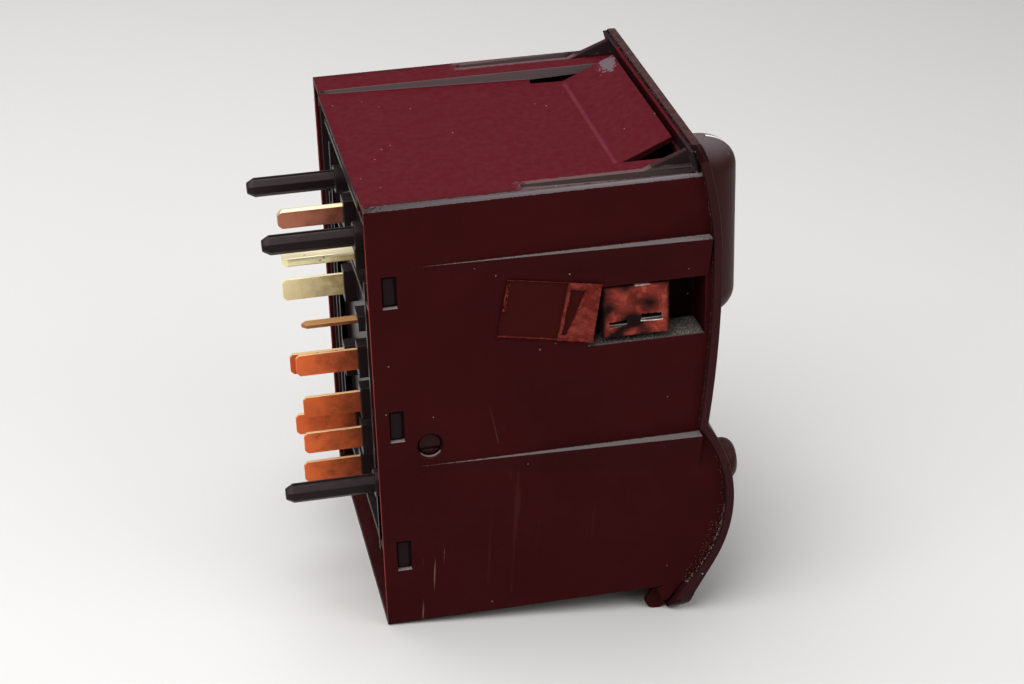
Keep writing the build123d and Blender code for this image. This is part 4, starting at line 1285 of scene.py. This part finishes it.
@dataclass
class Grains:
    """Grains of dust and grit scattered over narrow ribbons by Geometry Nodes.

    Density is grains per square metre, and smallest and largest are radii in millimetres.
    """

    name: str
    ribbons: tuple[Ribbon, ...]
    density: float
    smallest: float
    largest: float
    seed: int
    subdivisions: int = 1
    widest_turn: float = 6.2

    def build(self, wardrobe: Wardrobe) -> bpy.types.Object:
        """Builds the grains as plain mesh.

        Args:
            wardrobe: Source of finishes.

        Returns:
            The new piece.
        """
        bm = bmesh.new()
        for ribbon in self.ribbons:
            pairs = [[bm.verts.new(Vector(end) * MM) for end in pair] for pair in ribbon]
            for low, high in zip(pairs, pairs[1:]):
                bm.faces.new((low[0], low[1], high[1], high[0]))
        piece = make_piece(self.name, bm)
        tree = self._tree(wardrobe.get(Finish.GRAINS))
        modifier = piece.modifiers.new("grains", "NODES")
        modifier.node_group = tree
        values = {
            "Density": self.density,
            "Smallest": self.smallest * MM,
            "Largest": self.largest * MM,
            "Seed": self.seed,
        }
        for item in tree.interface.items_tree:
            if item.item_type == "SOCKET" and item.in_out == "INPUT" and item.name in values:
                modifier[item.identifier] = values[item.name]
        freeze(piece)
        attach(piece, "switch_body")
        return piece

    def _tree(self, material: bpy.types.Material) -> bpy.types.NodeTree:
        """Builds the node tree that scatters the grains.

        Args:
            material: The grains' material.

        Returns:
            The geometry node tree.
        """
        tree = bpy.data.node_groups.new(f"{self.name}_scatter", "GeometryNodeTree")
        sockets = (
            ("Geometry", "INPUT", "NodeSocketGeometry"),
            ("Density", "INPUT", "NodeSocketFloat"),
            ("Smallest", "INPUT", "NodeSocketFloat"),
            ("Largest", "INPUT", "NodeSocketFloat"),
            ("Seed", "INPUT", "NodeSocketInt"),
            ("Geometry", "OUTPUT", "NodeSocketGeometry"),
        )
        for label, direction, kind in sockets:
            tree.interface.new_socket(label, in_out=direction, socket_type=kind)
        g = Graph(tree)
        source = g.add("NodeGroupInput")
        sink = g.add("NodeGroupOutput")
        scatter = g.add("GeometryNodeDistributePointsOnFaces", distribute_method="RANDOM")
        g.join(source.outputs["Geometry"], scatter.inputs["Mesh"])
        for label in ("Density", "Seed"):
            g.join(source.outputs[label], scatter.inputs[label])
        grain = g.add("GeometryNodeMeshIcoSphere", i_Radius=1.0, i_Subdivisions=self.subdivisions)
        size = g.add("FunctionNodeRandomValue", data_type="FLOAT")
        g.join(source.outputs["Smallest"], size.inputs[2])
        g.join(source.outputs["Largest"], size.inputs[3])
        g.join(source.outputs["Seed"], size.inputs["Seed"])
        turn = g.add("FunctionNodeRandomValue", data_type="FLOAT_VECTOR")
        turn.inputs[0].default_value = (0.0,) * 3
        turn.inputs[1].default_value = (self.widest_turn,) * 3
        place = g.add("GeometryNodeInstanceOnPoints")
        g.join(scatter.outputs["Points"], place.inputs["Points"])
        g.join(grain.outputs["Mesh"], place.inputs["Instance"])
        g.join(turn.outputs[0], place.inputs["Rotation"])
        g.join(size.outputs[1], place.inputs["Scale"])
        real = g.add("GeometryNodeRealizeInstances")
        g.join(place.outputs["Instances"], real.inputs["Geometry"])
        paint = g.add("GeometryNodeSetMaterial", i_Material=material)
        g.join(real.outputs["Geometry"], paint.inputs["Geometry"])
        g.join(paint.outputs["Geometry"], sink.inputs["Geometry"])
        return tree


@dataclass
class Lamp:
    """A square area lamp: its name, place and side in millimetres, and power in watts."""

    name: str
    place: Point
    side: float
    power: float
    aim: Point = (30.0, 0.0, 45.0)

    def build(self) -> None:
        """Adds the lamp, facing the middle of the switch."""
        light = bpy.data.lights.new(self.name, "AREA")
        light.energy = self.power
        light.size = self.side * MM
        holder = bpy.data.objects.new(self.name, light)
        bpy.context.scene.collection.objects.link(holder)
        place = Vector(self.place) * MM
        holder.location = place
        holder.rotation_euler = (Vector(self.aim) * MM - place).to_track_quat("-Z", "Y").to_euler()


@dataclass
class Studio:
    """Floor, lights and camera. Places are in millimetres and angles in degrees.

    The switch rests on its rear lower edge, at the origin, and on the bezel's lip, so the floor is
    the plane through both.
    """

    lip_x: float = 61.0
    lip_z: float = -5.813
    floor_half_m: float = 2.2
    floor_dark: Colour = (0.55, 0.545, 0.535)
    floor_pale: Colour = (0.58, 0.575, 0.565)
    floor_roughness: float = 0.6
    sky: Colour = (1.0, 0.98, 0.96)
    sky_light: float = 0.4
    sky_seen: float = 0.8
    eye: Point = (-49.9, -437.2, 273.5)
    aim: Point = (34.4912, -1.5917, 44.0292)
    roll: float = -1.7768
    focal_mm: float = 82.41
    sensor_mm: float = 36.0
    nearest_m: float = 0.01
    lamps: tuple[Lamp, ...] = (
        Lamp("key_lamp", (-260.0, -300.0, 640.0), side=560.0, power=5.0),
        Lamp("fill_lamp", (520.0, -360.0, 380.0), side=480.0, power=1.4),
        Lamp("back_lamp", (-60.0, 200.0, 760.0), side=560.0, power=4.0),
    )

    def build(self) -> None:
        """Builds the floor, the world, the lamps and the camera."""
        self._floor()
        self._world()
        for lamp in self.lamps:
            lamp.build()
        self._camera()

    def _floor(self) -> None:
        """A pale floor through the two edges that the switch rests on."""
        bm = bmesh.new()
        bmesh.ops.create_grid(bm, x_segments=2, y_segments=2, size=self.floor_half_m)
        tilt = Matrix.Rotation(math.atan2(-self.lip_z, self.lip_x), 4, "Y")
        bmesh.ops.transform(bm, matrix=tilt, verts=bm.verts)
        floor = make_piece("floor", bm)
        material, g, shader = new_material("pale_floor")
        cloud = g.cloud(6.0, i_Detail=3.0)
        g.join(g.blend(cloud, self.floor_dark, self.floor_pale), shader["Base Color"])
        shader["Roughness"].default_value = self.floor_roughness
        floor.data.materials.append(material)

    def _world(self) -> None:
        """Soft light from all round, with a paler background where the camera sees it."""
        world = bpy.data.worlds.new("studio")
        bpy.context.scene.world = world
        world.use_nodes = True
        g = Graph(world.node_tree)
        back = g.tree.nodes["Background"]
        back.inputs["Color"].default_value = (*self.sky, 1.0)
        seen = g.add("ShaderNodeLightPath").outputs["Is Camera Ray"]
        more = g.times(seen, self.sky_seen - self.sky_light)
        g.join(g.plus(more, self.sky_light), back.inputs["Strength"])

    def _camera(self) -> None:
        """Places the camera."""
        camera = bpy.data.cameras.new("camera")
        camera.lens = self.focal_mm
        camera.sensor_width = self.sensor_mm
        camera.clip_start = self.nearest_m
        holder = bpy.data.objects.new("camera", camera)
        bpy.context.scene.collection.objects.link(holder)
        look = (Vector(self.aim) - Vector(self.eye)).to_track_quat("-Z", "Y").to_matrix().to_4x4()
        roll = Matrix.Rotation(math.radians(self.roll), 4, "Z")
        holder.matrix_world = Matrix.Translation(Vector(self.eye) * MM) @ look @ roll
        bpy.context.scene.camera = holder
        bpy.context.scene.view_settings.view_transform = "Standard"


ROUNDED = (
    Rounded("housing", Finish.HOUSING, 0.22, SEAM),
    Rounded("front_bezel", Finish.BEZEL, 0.3),
    Rounded("terminal_carrier", Finish.CARRIER, 0.15),
    Rounded("knob", Finish.KNOB, 0.3),
    Rounded("rear_fog_button", Finish.KNOB, 0.15),
    Rounded("front_fog_button", Finish.KNOB, 0.15),
    Rounded("near_clip", Finish.STEEL, 0.1),
    Rounded("far_clip", Finish.STEEL, 0.1),
    Rounded("battery_blade", Finish.BATTERY, 0.12),
    Rounded("ignition_blade", Finish.PALE_BRASS, 0.15),
    Rounded("headlamp_blade", Finish.PALE_BRASS, 0.1),
    Rounded("signal_blade", Finish.DULL_BRASS, 0.1),
    *(
        Rounded(f"{circuit}_blade", Finish.COPPER, 0.1)
        for circuit in ("left_sidelamp", "ground", "right_sidelamp", "front_fog", "rear_fog", "dimmer")
    ),
)

PLAIN = {
    "contact_board": Finish.BOARD,
    "lamp_board": Finish.BOARD,
    "chassis": Finish.INNER,
    "chassis_screws": Finish.STEEL,
    "knob_shaft": Finish.INNER,
    "contact_wiper": Finish.COPPER,
    "detent_spring": Finish.STEEL,
    "window_lamps": Finish.LAMP,
    "symbol_windows": Finish.WINDOW,
    "wheel_axle": Finish.STEEL,
    "dimmer_wheel": Finish.KNOB,
    "leveller_wheel": Finish.KNOB,
    "dimmer_potentiometer": Finish.INNER,
    "leveller_potentiometer": Finish.INNER,
    "rear_fog_microswitch": Finish.INNER,
    "front_fog_microswitch": Finish.INNER,
    "pointer_inlay": Finish.WHITE,
}

SPRINGS = (
    ReturnSpring("rear_fog_press", "rear_fog_spring"),
    ReturnSpring("front_fog_press", "front_fog_spring"),
)

FILMS = (
    WallFilm(
        "wall_film_look", "wall_film", Finish.WALL_FILM,
        corners=((24.8, 64.0), (43.9, 60.4), (46.0, 72.9), (27.2, 76.1)),
        y=-36.42, columns=120, rows=90, rise=0.7,
    ),
    ClipFilm(
        "clip_film_look", "clip_film", Finish.CLIP_FILM,
        corners=((46.0, 60.3), (59.9, 60.3), (59.9, 71.6), (46.0, 71.6)),
        y=-36.28, columns=150, rows=120, rise=0.5, curl=0.9,
    ),
)


def strip(start: Point, end: Point, width: float) -> Ribbon:
    """A flat ribbon along a line, as wide as asked along Y away from the middle of the switch.

    Args:
        start: First point of the ribbon's inner edge.
        end: Last point of the ribbon's inner edge.
        width: Width along Y.

    Returns:
        Pairs of points across the ribbon.
    """
    return tuple((place, (place[0], place[1] + width, place[2])) for place in (start, end))


GRAINS = (
    Grains(
        "seam_grit",
        (SEAM.ribbon(0.5, 19.0, -37.3, 0.9), SEAM.ribbon(0.5, 19.0, 36.4, 0.9)),
        density=3.2e6, smallest=0.04, largest=0.16, seed=7,
    ),
    Grains(
        "side_wall_dust",
        (
            SEAM.margin(1.0, 19.0, -36.31, 1.2),
            SEAM.margin(1.0, 15.0, -36.31, 2.4),
            SEAM.margin(19.0, 36.0, -36.31, 0.7),
            SEAM.margin(1.0, 19.0, 36.31, 1.6),
        ),
        density=2.6e6, smallest=0.02, largest=0.07, seed=13,
    ),
    Grains(
        "upper_seam_dust",
        (
            SEAM.ribbon(38.0, 92.0, -37.1, 0.7),
            SEAM.ribbon(38.0, 92.0, 36.4, 0.7),
            SEAM.ribbon(94.2, 98.6, -36.0, 72.0),
        ),
        density=1.6e6, smallest=0.03, largest=0.08, seed=11,
    ),
    Grains(
        "pocket_grit",
        (strip((43.2, -28.8, 59.22), (66.6, -28.8, 59.22), -7.2),),
        density=5.0e6, smallest=0.04, largest=0.12, seed=5,
    ),
    Grains(
        "ledge_dust",
        (
            strip((30.0, -36.4, 80.82), (66.5, -36.4, 80.82), -0.8),
            strip((22.0, -36.4, 36.92), (65.0, -36.4, 36.92), -0.6),
        ),
        density=2.4e6, smallest=0.02, largest=0.06, seed=3,
    ),
)


def main() -> None:
    """Builds the looks piece by piece."""
    logging.basicConfig(level=logging.INFO, format="%(name)s: %(message)s")
    wardrobe = Wardrobe()
    Studio().build()
    for rounded in ROUNDED:
        piece = rounded.build(wardrobe)
        LOG.info("%s: %d faces", piece.name, len(piece.data.polygons))
    for node, finish in PLAIN.items():
        wardrobe.dress(frame["nodes"][node], finish)
        LOG.info("%s: %s", node, finish.value.name)
    for maker in (*SPRINGS, *FILMS, *GRAINS):
        piece = maker.build(wardrobe)
        LOG.info("%s: %d faces", piece.name, len(piece.data.polygons))


if __name__ == "__main__":
    main()
